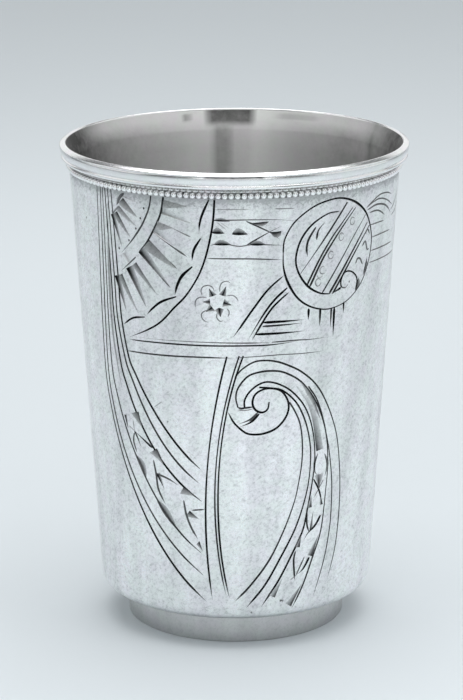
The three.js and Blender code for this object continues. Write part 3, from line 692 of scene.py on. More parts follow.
def add_cut(rows):
    """The left edge, deep line and right edge of one cut, and its sloping facets."""
    place = rows[:, :2]
    along = np.gradient(place, axis=0)
    along /= np.maximum(np.hypot(*along.T), 1e-9)[:, None]
    aside = np.stack([-along[:, 1], along[:, 0]], axis=1)
    left = place + aside * rows[:, 2:3]
    right = place - aside * rows[:, 3:4]
    count = len(rows)
    first = len(plan_points)
    for edge in (left, place, right):
        start = len(plan_points)
        plan_points.extend(map(tuple, edge))
        plan_edges.extend((start + i, start + i + 1) for i in range(count - 1))
    for i in (0, count - 1):
        if rows[i, 2] + rows[i, 3] > 0:
            plan_edges.append((first + i, first + count + i))
            plan_edges.append((first + count + i, first + 2 * count + i))
    base = len(facet_points)
    flat = np.zeros(count)
    tone = rows[:, 5]
    across = np.maximum(rows[:, 2] + rows[:, 3], 1e-6)
    pale_left, pale_right = (1 - rows[:, 6] * rows[:, k] / across for k in (2, 3))
    for edge, deep, share in ((left, flat, pale_left), (place, rows[:, 4], 1.0), (right, flat, pale_right)):
        facet_points.extend(zip(edge[:, 0], edge[:, 1], deep))
        facet_tone.extend(np.minimum(tone * share, 1))
    for i in range(count - 1):
        for near, far in ((0, count), (count, 2 * count)):
            a, b = base + near + i, base + far + i
            facets.append((a, b, b + 1))
            facets.append((a, b + 1, a + 1))


for rows in cuts:
    add_cut(rows)
plan_t = [t for _, t in plan_points]
print(len(plan_points), "points on the cuts,", len(facets), "loose facets")
print("cuts reach from", round(min(plan_t), 2), "to", round(max(plan_t), 2))

# %% Join grid and cuts into triangles
SHEET_LOW = WALL_FOOT - 1.2
SHEET_HIGH = WIRE_BOTTOM + 0.35
ROW_STEP = 1.3
CORNER_ROWS = 6
MERGE = 1e-4  # points closer than this become one
sheet_width = FULL_TURN * MEAN_RADIUS
column_u = SEAM_U + sheet_width * np.arange(COLUMNS + 1) / COLUMNS
row_t = np.concatenate([
    np.linspace(SHEET_LOW, WALL_FOOT, CORNER_ROWS)[:-1],
    np.linspace(WALL_FOOT, SHEET_HIGH, int((SHEET_HIGH - WALL_FOOT) / ROW_STEP) + 2),
])
grid = [(u, t) for t in row_t for u in column_u]
points = [Vector(p) for p in grid + plan_points]
edges = [(a + len(grid), b + len(grid)) for a, b in plan_edges]
flat_points, _, flat_faces, _, _, _ = delaunay_2d_cdt(points, edges, [], 0, MERGE)
sheet = np.array([tuple(p) for p in flat_points])
triangles = np.array([tuple(f) for f in flat_faces if len(f) == 3])
print(len(sheet), "points,", len(triangles), "triangles on the sheet")

# %% Drop the sheet's points onto the cuts
cut_tree = BVHTree.FromPolygons([Vector(p) for p in facet_points], facets)
DOWN = Vector((0, 0, -1))
ABOVE = 5  # a height well above every cut's deep line, since depth counts upwards here
NUDGE = 2e-4  # a point on a cut's edge is also tried this far to either side


def depth_at(u, t):
    """The deepest cut over a place on the sheet, and the facet that makes it."""
    place, _, facet, _ = cut_tree.ray_cast(Vector((u, t, ABOVE)), DOWN)
    return (0.0, None) if place is None else (place.z, facet)


def deepest(u, t):
    return max(depth_at(u + du, t + dt)[0] for du, dt in ((0, 0), (NUDGE, NUDGE / 2), (-NUDGE, -NUDGE / 3)))


sheet_depth = np.array([deepest(u, t) for u, t in sheet])
print("deepest cut", round(float(sheet_depth.max()), 3), "mm")

# %% Shade each triangle's corners by the cut that it lies in
UNCUT = 1e-4  # a triangle no deeper than this is plain
PULL_IN = 0.1  # how far a corner is moved towards its triangle's middle, so that it lies in one cut
corners = sheet[triangles]
middles = corners.mean(axis=1)
inside = sheet_depth[triangles].max(axis=1) > UNCUT
corner_tone = np.zeros(triangles.shape)
facet_corner = np.array(facet_points)
facet_tone = np.array(facet_tone)


def tone_at(u, t):
    """The darkness of the cut at a place, blended between its facet's corners."""
    _, facet = depth_at(u, t)
    if facet is None:
        return 0.0
    ids = list(facets[facet])
    (x0, y0), (x1, y1), (x2, y2) = facet_corner[ids, :2]
    area = (x1 - x0) * (y2 - y0) - (x2 - x0) * (y1 - y0)
    if abs(area) < 1e-12:
        return float(facet_tone[ids].mean())
    b = ((u - x0) * (y2 - y0) - (x2 - x0) * (t - y0)) / area
    c = ((x1 - x0) * (t - y0) - (u - x0) * (y1 - y0)) / area
    return float(np.dot(facet_tone[ids], np.clip([1 - b - c, b, c], 0, 1)))


for face in np.nonzero(inside)[0]:
    for k in range(3):
        u, t = corners[face, k] * (1 - PULL_IN) + middles[face] * PULL_IN
        corner_tone[face, k] = tone_at(u, t)
print(int(inside.sum()), "triangles lie in cuts")

# %% [markdown]
# ## Closing the cup
# The engraved sheet is only the outside of the wall. The rest of the cup is turned: the underside and
# its rounded corner, the wall behind the moulding, the lip with its sloping top, the slightly flared
# mouth, the lining and the inside of the bottom. A lathe tool in Blender could spin such a profile, but
# here the rings are laid by number, with as many points as the sheet has columns. So the two join
# without a gap, and the cup is one closed skin like the real one.

# %% Rings and turned skins
column_angle = column_u[:-1] / MEAN_RADIUS


def turn(profile, angles):
    """A ring of points, in millimetres, for each (radius, height) of a profile."""
    profile = np.array(profile, float)
    r, z = profile[:, :1], profile[:, 1:]
    return np.stack([r * np.sin(angles), -r * np.cos(angles), z + 0 * angles], axis=-1)


def ring_faces(low, high):
    """Squares between two rings of point numbers."""
    low, high = np.asarray(low), np.asarray(high)
    return np.stack([low, np.roll(low, -1), np.roll(high, -1), high], axis=1)


def skin_faces(rings):
    """Squares between each ring of point numbers and the next."""
    return np.vstack([ring_faces(low, high) for low, high in zip(rings, rings[1:])])


def arc(centre_r, centre_z, radius, start, end, steps):
    """Part of a circle in a profile, by degrees."""
    a = np.radians(np.linspace(start, end, steps + 1))
    return list(zip(centre_r + radius * np.cos(a), centre_z + radius * np.sin(a)))


def add_object(name, points_mm, faces):
    """A smooth-shaded mesh object, scaled from millimetres to metres."""
    mesh = bpy.data.meshes.new(name)
    mesh.from_pydata((np.asarray(points_mm) * MM).tolist(), [], [tuple(map(int, f)) for f in faces])
    mesh.shade_smooth()
    obj = bpy.data.objects.new(name, mesh)
    bpy.context.scene.collection.objects.link(obj)
    return obj


def add_ring(name, rings):
    """A mesh object whose skin runs round a whole profile and closes on itself."""
    numbers = np.arange(rings.shape[0] * rings.shape[1]).reshape(rings.shape[:2])
    return add_object(name, rings.reshape(-1, 3), skin_faces([*numbers, numbers[0]]))


print("a ring has", len(column_angle), "points")

# %% The sheet's rim points, and its seam
CLOSE = 1e-5  # points nearer to an edge than this lie on it
seam_right = np.abs(sheet[:, 0] - column_u[-1]) < CLOSE
seam_left = {round(float(t), 4): i for i, (u, t) in enumerate(sheet) if abs(u - SEAM_U) < CLOSE}
same_as = np.arange(len(sheet))
for i in np.nonzero(seam_right)[0]:
    same_as[i] = seam_left[round(float(sheet[i, 1]), 4)]


def edge_row(t):
    """The sheet's point numbers along one of its long edges, in column order."""
    row = [i for i in np.nonzero(np.abs(sheet[:, 1] - t) < CLOSE)[0] if not seam_right[i]]
    return sorted(row, key=lambda i: sheet[i, 0])


low_row, high_row = edge_row(SHEET_LOW), edge_row(SHEET_HIGH)
print("edge rows", len(low_row), len(high_row))

# %% Underside, lip and lining
SEAM = 75.4  # height of the seam between the lip and the moulding
FLARE_FOOT = 72.6  # where the lining starts to turn outwards
MOUTH_EDGE = (25.97, 75.78)
CENTRE = 0.02  # radius of the small flat at the middle of the bottom
INNER_CORNER = CORNER - WALL
inner_floor = BOTTOM + WALL
corner_bend = math.degrees(LEAN + (WALL_FOOT - SHEET_LOW) / CORNER)


def inner(z):
    """Radius of the lining at a height."""
    return wall_radius(z) - WALL


underside = [(r, BOTTOM) for r in (CENTRE, 5, 10, 15)]
underside += arc(CORNER_R, CORNER_Z, CORNER, -90, -corner_bend, 6)[:-1]
# Behind the moulding the wall turns outwards with the mouth, so that the metal keeps its thickness.
mouth = [(wall_radius(z), z) for z in (73.2, 73.8)] + [(25.78, 74.6), (26.05, SEAM - 0.1)]
seam_start = len(mouth)
mouth += [(26.42, SEAM + 0.01), (26.87, SEAM + 0.02), (26.89, SEAM + 0.08), (LIP_RADIUS, SEAM + 0.15)]
# The lip's top is a bevel that falls outwards, so that it drains and doesn't chip.
mouth += [(26.88, 75.62), (26.78, 75.7), (26.6, 75.8), (26.4, 75.91), (26.27, 75.97), (26.18, HEIGHT)]
mouth += [(26.08, 75.96), (26.0, 75.88), MOUTH_EDGE]
flare_start = len(mouth)
mouth += [*bow((25.94, 75.7), (25.66, 75.1), (25.05, 73.9), (inner(FLARE_FOOT), FLARE_FOOT), 12)]
lining = [(inner(z), z) for z in np.linspace(FLARE_FOOT, CORNER_Z, 26)[1:]]
lining += arc(inner(CORNER_Z) - INNER_CORNER, inner_floor + INNER_CORNER, INNER_CORNER, 0, -90, 7)[1:]
lining += [(r, inner_floor) for r in (15, 10, 5, CENTRE)]
print(len(underside), "rings below the sheet,", len(mouth) + len(lining), "above it")

# %% Join sheet and rings
sheet_points = roll_up(sheet[:, 0], sheet[:, 1], sheet_depth)
low_rings = turn(underside, column_angle)
high_rings = turn(mouth + lining, column_angle)
cup_points = np.vstack([sheet_points, low_rings.reshape(-1, 3), high_rings.reshape(-1, 3)])
low_ids = len(sheet) + np.arange(low_rings.shape[0] * COLUMNS).reshape(-1, COLUMNS)
high_ids = low_ids[-1, -1] + 1 + np.arange(high_rings.shape[0] * COLUMNS).reshape(-1, COLUMNS)
rows_up = [*low_ids, np.array(low_row)]
rows_on = [np.array(high_row), *high_ids]
ring_quads = np.vstack([skin_faces(rows_up), skin_faces(rows_on)])
wall_triangles = same_as[triangles]
caps = [tuple(low_ids[0][::-1]), tuple(high_ids[-1])]
cup = add_object("engraved_cup", cup_points, [*wall_triangles, *ring_quads, *caps])
print("cup", len(cup.data.vertices), "points,", len(cup.data.polygons), "faces")

# %% [markdown]
# ## Painted shade and tarnish inside the mouth, and dirt under the lip
# Inside this cup the lining looks darker at its flanks and in soft upright bands, where it reflects
# darker things, and silver also darkens where no cloth reaches. Both are painted into its colour here:
# soft upright bands and dark flanks of painted shade mixed with tarnish, weaker at the upper back, and
# one dark patch at the middle of the back just under the lip. Outside, dirt keeps to the seam between
# the lip and the moulding. Noise alone would put such marks anywhere, so each corner of the mesh is
# given its own darkness by its place round the cup, and the silver reads it later.

# %% Where the mouth and the seam are dark
# Round the cup, in degrees from the middle of the back: soft upright bands of painted shade, standing
# in for the lining's darker reflections, mixed with tarnish.
SHADE_BANDS = (
    (-180, 0.3), (-140, 0.45), (-92, 0.92), (-80, 0.92), (-67, 0.74), (-56, 0.58), (-43, 0.4), (-29, 0.2),
    (-17, 0), (-9, 0.05), (-6.6, 0.45), (-2.2, 0.45), (-0.5, 0.16), (5, 0.1), (8, 0), (18, 0), (34, 0.33),
    (45, 0.5), (58, 0.45), (60, 0.65), (63, 0.53), (78, 0.8), (90, 0.84), (140, 0.45), (180, 0.3),
)
SEAM_DIRT = (-1, 9.3, 1.5)  # degrees either side of the front: from, to, and how softly it fades
from_back = 180 - np.degrees(column_angle) % 360


def from_front(angle):
    """The same angle in degrees, with 0 at the middle of the front."""
    return np.degrees((angle + math.pi) % FULL_TURN - math.pi)


def hump(x, low, high, soft):
    """1 between low and high, fading to 0 over the distance soft on both sides."""
    return np.clip((x - low) / soft + 0.5, 0, 1) * np.clip((high - x) / soft + 0.5, 0, 1)


def lining_shade_and_tarnish(z):
    """How dark the lining is painted all round at one height: painted shade with tarnish in bands, eased at
    the upper back, and a few dark marks.
    """
    # The painted shade is eased at the upper back, where the flaring mouth catches more light.
    shade_eased_at_back = 0.65 * hump(from_back, -62, 62, 16) * np.interp(z, (72.4, 74.6), (0, 1))
    bands = np.interp(from_back, *zip(*SHADE_BANDS)) * (1 - shade_eased_at_back) + 0.03
    patch = 0.8 * hump(from_back, -10, 7, 1.5) * np.interp(z, (72.4, 73.3, 74.1, 75.6), (0.1, 0.3, 0.9, 1))
    spot = 0.6 * hump(from_back, -18.5, -16.5, 1.5) * hump(z, 74.2, 75.3, 0.4)
    stain = 0.25 * hump(from_back, 16, 33, 5) * hump(z, 74.5, 75.4, 0.4)
    return np.maximum.reduce([bands, patch, spot, stain])


def seam_tone():
    """Dirt in the seam under the lip: darkest along one stretch in front, and in a few short ones."""
    short = ((-168, 3), (-120, 9), (40, 6), (105, 5), (150, 4))
    marks = sum(0.4 * hump(from_back, at, at + wide, 2) for at, wide in short)
    return np.maximum(0.95 * hump(np.abs(from_front(column_angle)), *SEAM_DIRT), marks)


ring_profile = underside + mouth + lining
ring_tone = np.zeros((len(ring_profile), COLUMNS))
for k in range(len(underside) + flare_start, len(ring_profile)):
    ring_tone[k] = lining_shade_and_tarnish(ring_profile[k][1])
for k in range(len(underside) + seam_start, len(underside) + seam_start + 3):
    ring_tone[k] = seam_tone()
ring_tone = ring_tone.ravel()
print("darkest tarnish in the mouth", round(float(lining_shade_and_tarnish(SEAM).max()), 2))

# %% Shade the cup: smooth where it is plain, crisp in the cuts
mesh = cup.data
flat_normals = np.zeros(len(mesh.polygons) * 3)
mesh.polygons.foreach_get("normal", flat_normals)
flat_normals = flat_normals.reshape(-1, 3)
loop_total = len(mesh.loops)
loop_normals = np.zeros((loop_total, 3))
wall_count = len(wall_triangles)
skin_normals = facing(corners[:, :, 0], corners[:, :, 1])
skin_normals[inside] = flat_normals[:wall_count][inside][:, None, :]
loop_normals[: wall_count * 3] = skin_normals.reshape(-1, 3)
mesh.normals_split_custom_set(loop_normals.tolist())
cut_shade = mesh.attributes.new("cut", "FLOAT", "CORNER")
tones = np.zeros(loop_total)
tones[: wall_count * 3] = corner_tone.ravel()
corner_point = np.zeros(loop_total, int)
mesh.loops.foreach_get("vertex_index", corner_point)
ring_corner = corner_point[wall_count * 3:] - len(sheet)
tones[wall_count * 3:] = np.where(ring_corner >= 0, ring_tone[np.maximum(ring_corner, 0)], 0)
cut_shade.data.foreach_set("value", tones)
lip_first, lining_first = (wall_count + (len(low_ids) + k) * COLUMNS for k in (seam_start, flare_start))
for polygon in mesh.polygons[lip_first:]:
    polygon.material_index = 1 if polygon.index >= lining_first else 2
outward = np.einsum("ij,ij->i", flat_normals[:wall_count], skin_normals[:, 0])
print(len(mesh.polygons), "faces; faces turned inwards:", int((outward < 0).sum()))

# %% [markdown]
# ## The bead moulding
# The moulding is one drawn and rolled wire: a row of small beads, a hollow above them, a round ridge and
# a flat band, soldered round the cup under its lip. The beads could be separate balls, but the real ones
# are pressed up from the wire, so here the wire's skin itself swells into each bead. Its ground is at the
# wall. The gaps between the beads and the hollow above them are painted darker, as shade with some
# tarnish; the hollow is darkest at the left, and the notch over the ridge and the flat band are painted
# a little darker too, as shade.

# %% Turn the wire and raise its beads
BEADS = 168
POINTS_PER_BEAD = 10
BEAD_OUT = 0.44  # how far a bead stands out from the wall
BEAD_WIDE = 0.92  # share of the pitch that a bead fills
BEAD_HIGH = 0.98
GAP = 0.03  # between the wall and the back of the wire
bead_low = WIRE_BOTTOM + 0.04
wire_angle = FULL_TURN * np.arange(BEADS * POINTS_PER_BEAD) / (BEADS * POINTS_PER_BEAD)


def behind(z):
    """Radius of the wire's back at a height."""
    return wall_radius(z) + GAP


bead_band = [(behind(z) + 0.02, z) for z in np.linspace(bead_low, bead_low + BEAD_HIGH, 10)]
hollow = bow((25.66, 72.93), (25.72, 73.2), (26.1, 73.4), (26.5, 73.52), 6)
ridge = arc(26.42, 73.85, 0.33, -60, 58, 8)
band = [(26.6, 74.16), (26.61, 74.21), (26.68, 74.28), (26.76, 74.45), (26.84, 74.7), (26.88, 74.95),
        (26.88, 75.1), (26.87, SEAM - 0.05), (26.85, SEAM - 0.01), (26.6, SEAM)]
wire_profile = [(behind(WIRE_BOTTOM), WIRE_BOTTOM), *bead_band, *hollow, *ridge, *band]
wire_profile += [(26.1, SEAM), (25.83, 74.6), (behind(73.8), 73.8)]
wire_rings = turn(wire_profile, wire_angle)

beside = ((np.arange(len(wire_angle)) % POINTS_PER_BEAD) / POINTS_PER_BEAD - 0.5) * 2 / BEAD_WIDE
wire_shade = np.zeros(wire_rings.shape[:2])
for k in range(len(bead_band)):
    above = 2 * k / (len(bead_band) - 1) - 1
    swell = np.clip(1 - np.abs(beside) ** 2 - abs(above) ** 2.4, 0, 1) ** 0.5
    out = np.stack([np.sin(wire_angle), -np.cos(wire_angle), 0 * wire_angle], axis=1)
    wire_rings[1 + k] += (BEAD_OUT * swell)[:, None] * out
    # Painted shade, with some tarnish, in the gaps between the beads.
    wire_shade[1 + k] = np.clip(1 - 3 * swell, 0, 1)
front_turn = from_front(wire_angle)
for k in range(1 + len(bead_band), len(wire_profile) - 2):
    z = wire_profile[k][1]
    # Painted shade in the hollow over the beads, in the notch over the ridge and on the flat band.
    wire_shade[k] = np.interp(z, (72.93, 73.2, 73.5, 73.62, 74.1, 74.17, 74.22, 74.32),
                              (0.25, 0.12, 0.05, 0, 0, 0.15, 0.15, 0.1))
    if z < 73.6:
        wire_shade[k] += 0.9 * hump(front_turn, -94, -66, 14)
    if z > SEAM - 0.06:
        wire_shade[k] = 0.9 * hump(np.abs(front_turn), *SEAM_DIRT)
wire = add_ring("bead_wire", wire_rings)
shade = wire.data.attributes.new("cut", "FLOAT", "POINT")
shade.data.foreach_set("value", (0.7 * wire_shade).ravel())
print("wire", len(wire.data.polygons), "faces,", BEADS, "beads")

# %% [markdown]
# ## The foot ring
# The foot is a strip of silver bent round, soldered and turned true: nearly straight, a hair wider at
# the top, with its lower edge rubbed round by the table. Solder leaves a small hollow fillet where the
# foot meets the cup, which is why its top is drawn out a little.

# %% Turn the foot
FOOT_INSIDE = FOOT_RADIUS - 1.2
FOOT_LOW_RADIUS = 17.05
FOOT_EDGE = 0.22  # how round the table has rubbed its lower edge
foot_profile = [(FOOT_INSIDE, 0.2), (FOOT_INSIDE + 0.15, 0.0)]
foot_profile += arc(FOOT_LOW_RADIUS - FOOT_EDGE, FOOT_EDGE, FOOT_EDGE, -90, 5, 6)
foot_profile += [(FOOT_LOW_RADIUS + (FOOT_RADIUS - FOOT_LOW_RADIUS) * s, 0.25 + 4.0 * s)
                 for s in np.linspace(0.1, 1, 8)]
fillet = ((0.01, 4.4), (0.03, 4.6), (0.15, FOOT_TOP - 0.03), (0.42, FOOT_TOP))
foot_profile += [*bow(*((FOOT_RADIUS + out, z) for out, z in fillet), 5)]
foot_profile += [(FOOT_INSIDE, FOOT_TOP)]
foot = add_ring("foot_ring_turned", turn(foot_profile, column_angle))
for obj in (wire, foot):
    obj.data.set_sharp_from_angle(angle=math.radians(50))
print("foot", len(foot.data.polygons), "faces")

# %% [markdown]
# ## Silver
# Old silver is not a mirror. Polishing leaves a haze of hair-fine scratches that run mostly one way, the
# metal keeps soft hollows from the hammer, and a breath of grey tarnish gathers wherever the cloth
# misses, most of all inside the cuts. A thin film of tarnish also has a faint colour, here lilac and
# there sea green. One function builds that from nodes, with amounts that differ for the wall, the
# polished lip and moulding, the lining and the duller foot. It also mixes in the painted shade that the
# meshes carry, and paints shade on the wall under the moulding. The colour could come from a scanned
# image, but noise placed by the object's own coordinates fits any size and has no joins.

# %% Helpers for nodes
def feed(tree, socket, value):
    """Gives a socket a value, or the output of another node."""
    if isinstance(value, bpy.types.NodeSocket):
        tree.links.new(value, socket)
    else:
        socket.default_value = value


def wired(tree, kind, settings=None, **inputs):
    """Adds a node. Its inputs go by name, or by number after an underscore."""
    made = tree.nodes.new(kind)
    for key, value in (settings or {}).items():
        setattr(made, key, value)
    for key, value in inputs.items():
        feed(tree, made.inputs[int(key[1:]) if key[0] == "_" else key.replace("_", " ")], value)
    return made


def blotches(tree, place, size_mm, detail=4.0, rough=0.6):
    """Cloudy noise whose patches are about size_mm across."""
    return wired(tree, "ShaderNodeTexNoise", Vector=place, Scale=1 / (size_mm * MM), Detail=detail,
                 Roughness=rough).outputs["Fac"]


def spread(tree, value, low, high, to_low=0.0, to_high=1.0):
    """Stretches a value from low..high to to_low..to_high."""
    return wired(tree, "ShaderNodeMapRange", {"clamp": True}, Value=value, From_Min=low, From_Max=high,
                 To_Min=to_low, To_Max=to_high).outputs["Result"]


def maths(tree, operation, a, b):
    return wired(tree, "ShaderNodeMath", {"operation": operation}, _0=a, _1=b).outputs[0]


def add(tree, first, *others):
    """The sum of two or more values."""
    for other in others:
        first = maths(tree, "ADD", first, other)
    return first


def times(tree, a, b):
    return maths(tree, "MULTIPLY", a, b)


def blend(tree, share, a, b, how="MIX"):
    """A share of the way from colour a to colour b, or a multiplied by b."""
    return wired(tree, "ShaderNodeMix", {"data_type": "RGBA", "blend_type": how}, Factor=share,
                 _6=a, _7=b).outputs[2]


def bump(tree, height, distance_mm, **over):
    """Bends the light as if the surface rose by distance_mm where height is 1."""
    return wired(tree, "ShaderNodeBump", Height=height, Strength=1.0, Distance=distance_mm * MM,
                 **over).outputs[0]


print("node helpers ready")

# %% Silver, with its haze, hollows and tarnish
LILAC, SEA_GREEN = (0.985, 0.97, 1, 1), (0.97, 1, 0.985, 1)  # the faint colours of a film of tarnish


def silver(name, bright, dull, oxide_and_shade, roughness, tarnish, haze, hollows, patchy=0.0, shade_and_tarnish_below=None):
    """bright and dull are the clean and the tarnished colour, and oxide_and_shade is the colour that the
    cut attribute mixes in: black tarnish inside the cuts, and painted shade there and on the lining and
    moulding. patchy breaks up the darkest places. shade_and_tarnish_below paints the wall darker under a
    height, as painted shade from the moulding above with tarnish in it: the height, how far down it
    reaches, both in millimetres, and how much."""
    material = bpy.data.materials.new(name)
    material.use_nodes = True
    tree = material.node_tree
    shader = tree.nodes["Principled BSDF"]
    place = wired(tree, "ShaderNodeTexCoord").outputs["Object"]
    # Places round the cup, so that scratches follow the wall: distance round it, and height.
    split = wired(tree, "ShaderNodeSeparateXYZ", Vector=place)
    turned = maths(tree, "ARCTAN2", split.outputs["X"], times(tree, split.outputs["Y"], -1.0))
    distance = times(tree, turned, MEAN_RADIUS * MM)
    round_wall = wired(tree, "ShaderNodeCombineXYZ", X=distance, Y=split.outputs["Z"]).outputs[0]

    def scratches(angle, long_mm, fine_mm):
        """Noise drawn out to long_mm along one direction, and only fine_mm wide across it."""
        laid = wired(tree, "ShaderNodeMapping", {"vector_type": "TEXTURE"}, Vector=round_wall,
                     Rotation=(0, 0, angle), Scale=(long_mm * MM, fine_mm * MM, 1)).outputs[0]
        return wired(tree, "ShaderNodeTexNoise", Vector=laid, Scale=1.0, Detail=3.0).outputs["Fac"]

    clouds = spread(tree, blotches(tree, place, 3.0, 6.0, 0.75), 0.47, 0.75, to_high=0.45)
    specks = spread(tree, blotches(tree, place, 0.5, 5.0, 0.85), 0.48, 0.72, to_high=1.3)
    wipes = spread(tree, scratches(0.6, 2.0, 0.35), 0.55, 0.85)
    grime = add(tree, specks, times(tree, wipes, 0.7))
    streaks = spread(tree, scratches(1.5, 40.0, 4.0), 0.42, 0.68)
    film = times(tree, add(tree, clouds, grime, times(tree, streaks, 0.5)), tarnish)
    # Painted shade on the wall under the moulding, where its shadow falls, grained with tarnish.
    if shade_and_tarnish_below:
        height, reach, amount = shade_and_tarnish_below
        near = spread(tree, split.outputs["Z"], (height - reach) * MM, height * MM)
        near = times(tree, maths(tree, "POWER", near, 2.5), amount)
        film = add(tree, film, times(tree, near, add(tree, grime, 0.6)))
    cut = wired(tree, "ShaderNodeAttribute", {"attribute_name": "cut"}).outputs["Fac"]
    if patchy:
        uneven = spread(tree, blotches(tree, place, 1.6, 5.0, 0.7), 0.35, 0.65, 1 - patchy, 1 + patchy)
        cut = times(tree, cut, uneven)
    metal = blend(tree, film, (*bright, 1), (*dull, 1))
    hue = spread(tree, blotches(tree, place, 3.5, 4.0, 0.65), 0.38, 0.62)
    metal = blend(tree, 1.0, metal, blend(tree, hue, LILAC, SEA_GREEN), "MULTIPLY")
    coated = blend(tree, spread(tree, cut, 0.0, 0.92), metal, (*oxide_and_shade, 1))
    tree.links.new(coated, shader.inputs["Base Color"])

    # Hair-fine scratches, most of them round the cup, roughen the metal and bend its light a little.
    fine = add(tree, scratches(0.12, 6.0, 0.09), times(tree, scratches(1.5, 9.0, 0.12), 0.6))
    rough = add(tree, spread(tree, fine, 0.5, 1.1, roughness - 0.05, roughness + 0.06),
                times(tree, add(tree, film, cut), 0.18))
    tree.links.new(rough, shader.inputs["Roughness"])
    hammered = bump(tree, blotches(tree, place, 6.0, 2.0), hollows)
    tree.links.new(bump(tree, fine, haze, Normal=hammered), shader.inputs["Normal"])
    shader.inputs["Metallic"].default_value = 1.0
    return material


engraved_silver = silver(
    "engraved_silver", bright=(0.98, 0.985, 0.985), dull=(0.5, 0.51, 0.515), oxide_and_shade=(0.012, 0.013, 0.014),
    roughness=0.27, tarnish=0.62, haze=0.002, hollows=0.05, shade_and_tarnish_below=(WIRE_BOTTOM, 2.4, 1.5))
bright_silver = silver(
    "bright_silver", bright=(0.985, 0.985, 0.98), dull=(0.64, 0.64, 0.64), oxide_and_shade=(0.03, 0.03, 0.03),
    roughness=0.21, tarnish=0.15, haze=0.001, hollows=0.02, patchy=0.3)
foot_silver = silver(
    "foot_silver", bright=(0.66, 0.655, 0.645), dull=(0.43, 0.435, 0.43), oxide_and_shade=(0.05, 0.05, 0.05),
    roughness=0.3, tarnish=0.4, haze=0.002, hollows=0.05)
lining_silver = silver(
    "lining_silver", bright=(0.99, 0.985, 0.97), dull=(0.8, 0.79, 0.77), oxide_and_shade=(0.07, 0.07, 0.068),
    roughness=0.5, tarnish=0.15, haze=0.001, hollows=0.05, patchy=0.08)
# The lining is brushed round and round, and its film of tarnish is a little matt.
lining_shader = lining_silver.node_tree.nodes["Principled BSDF"]
lining_shader.inputs["Metallic"].default_value = 0.6
lining_shader.inputs["Anisotropic"].default_value = 0.8
lining_shader.inputs["Anisotropic Rotation"].default_value = 0.25
for obj, material in ((cup, engraved_silver), (cup, lining_silver), (cup, bright_silver),
                      (wire, bright_silver), (foot, foot_silver)):
    obj.data.materials.append(material)
print("silvers", [material.name for material in bpy.data.materials if material.name.endswith("_silver")])

# %% [markdown]
# ## Joining the frame
# Each fine mesh now stands for its imported solid, which is hidden. All three ride on the cup's one body.

# %% Ride and replace
for obj, node, slot in (
    (cup, "cup_body", "engraved_silver"),
    (wire, "bead_moulding", "bright_silver"),
    (foot, "foot_ring", "foot_silver"),
):
    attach(obj, "root")
    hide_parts(node)
    print(obj.name, "stands for", node)

# %% [markdown]
# ## Table, light and camera
# Silver shows its surroundings, so the surroundings are most of its look. The cup stands on a wide pale
# table that fills the wall with soft white. The sloping lip shows the soft box overhead, the beads show
# a window behind the camera, the flared mouth shows a box at each side, and the ends of the lip show a
# long low box behind. Two small lamps make the table brightest just behind the cup and just in front.

# %% The table
TABLE_REACH = 6.0  # from its middle to each side, in metres
table_mesh = bpy.data.meshes.new("table")
table_corners = ((-1, -1), (1, -1), (1, 1), (-1, 1))
table_mesh.from_pydata([(TABLE_REACH * x, TABLE_REACH * y, 0) for x, y in table_corners], [], [(0, 1, 2, 3)])
table = bpy.data.objects.new("table", table_mesh)
bpy.context.scene.collection.objects.link(table)
paper = bpy.data.materials.new("pale_table")
paper.use_nodes = True
paper_shader = paper.node_tree.nodes["Principled BSDF"]
paper_shader.inputs["Base Color"].default_value = (0.77, 0.825, 0.855, 1)
paper_shader.inputs["Roughness"].default_value = 0.9
paper_shader.inputs["Specular IOR Level"].default_value = 0.1
table_mesh.materials.append(paper)
print("table", 2 * TABLE_REACH, "m square")

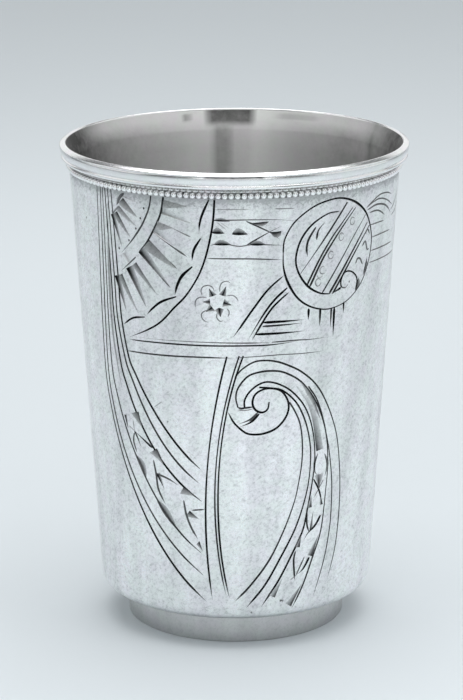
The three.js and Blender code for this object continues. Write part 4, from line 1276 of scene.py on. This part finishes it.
# %% The light
def soft_box(name, place, aim, size, power, beam=180):
    """A glowing rectangle: sizes in metres, power in watts, and how wide its beam is in degrees."""
    light = bpy.data.lights.new(name, "AREA")
    light.shape = "RECTANGLE"
    light.size, light.size_y = size
    light.energy = power
    light.spread = math.radians(beam)
    box = bpy.data.objects.new(name, light)
    box.location = place
    box.rotation_euler = (Vector(aim) - Vector(place)).to_track_quat("-Z", "Y").to_euler()
    bpy.context.scene.collection.objects.link(box)
    print(name, power, "W")


soft_box("overhead", (0.0, 0.15, 0.8), (0, 0.15, 0), (0.8, 0.8), 3.5)
soft_box("back", (0.0, 0.20, 0.33), (0, 0.20, 0), (0.2, 0.2), 0.08, 115)
soft_box("front", (0.025, -0.15, 0.22), (0.025, -0.15, 0), (0.2, 0.2), 0.095, 110)
soft_box("window", (0.0, -0.9, 0.25), (0, 0, 0.06), (0.9, 0.45), 1.35)
soft_box("left", (-0.6, -0.04, 0.37), (0, 0, 0.07), (0.7, 0.6), 0.98)
soft_box("right", (0.6, -0.04, 0.37), (0, 0, 0.07), (0.9, 0.8), 1.5)
soft_box("backdrop", (0.0, 1.3, 0.45), (0, 0, 0.06), (3.0, 0.8), 5.8)
room = bpy.data.worlds.new("room")
room.use_nodes = True
room.node_tree.nodes["Background"].inputs["Color"].default_value = (0.85, 0.89, 0.92, 1)
room.node_tree.nodes["Background"].inputs["Strength"].default_value = 0.17
bpy.context.scene.world = room
bpy.context.scene.view_settings.view_transform = "Standard"
print("lights", len(bpy.data.lights))

# %% The camera
EYE = Vector((0.0, -0.4449, 0.1625))
AIM = Vector((-0.00055, 0.0, 0.0423))
FRAME_HIGH = 700
FOCAL_LENGTH = 2936  # on the same scale as the frame's height, which the sensor's width is laid along
ROLL = -0.21  # degrees
lens = bpy.data.cameras.new("camera")
lens.sensor_width = 36.0
lens.lens = FOCAL_LENGTH / FRAME_HIGH * lens.sensor_width
lens.clip_start = 0.01
camera = bpy.data.objects.new("camera", lens)
camera.location = EYE
camera.rotation_euler = (AIM - EYE).to_track_quat("-Z", "Y").to_euler()
camera.rotation_euler.rotate_axis("Z", math.radians(ROLL))
bpy.context.scene.collection.objects.link(camera)
bpy.context.scene.camera = camera
print("camera", round((AIM - EYE).length, 3), "m away")
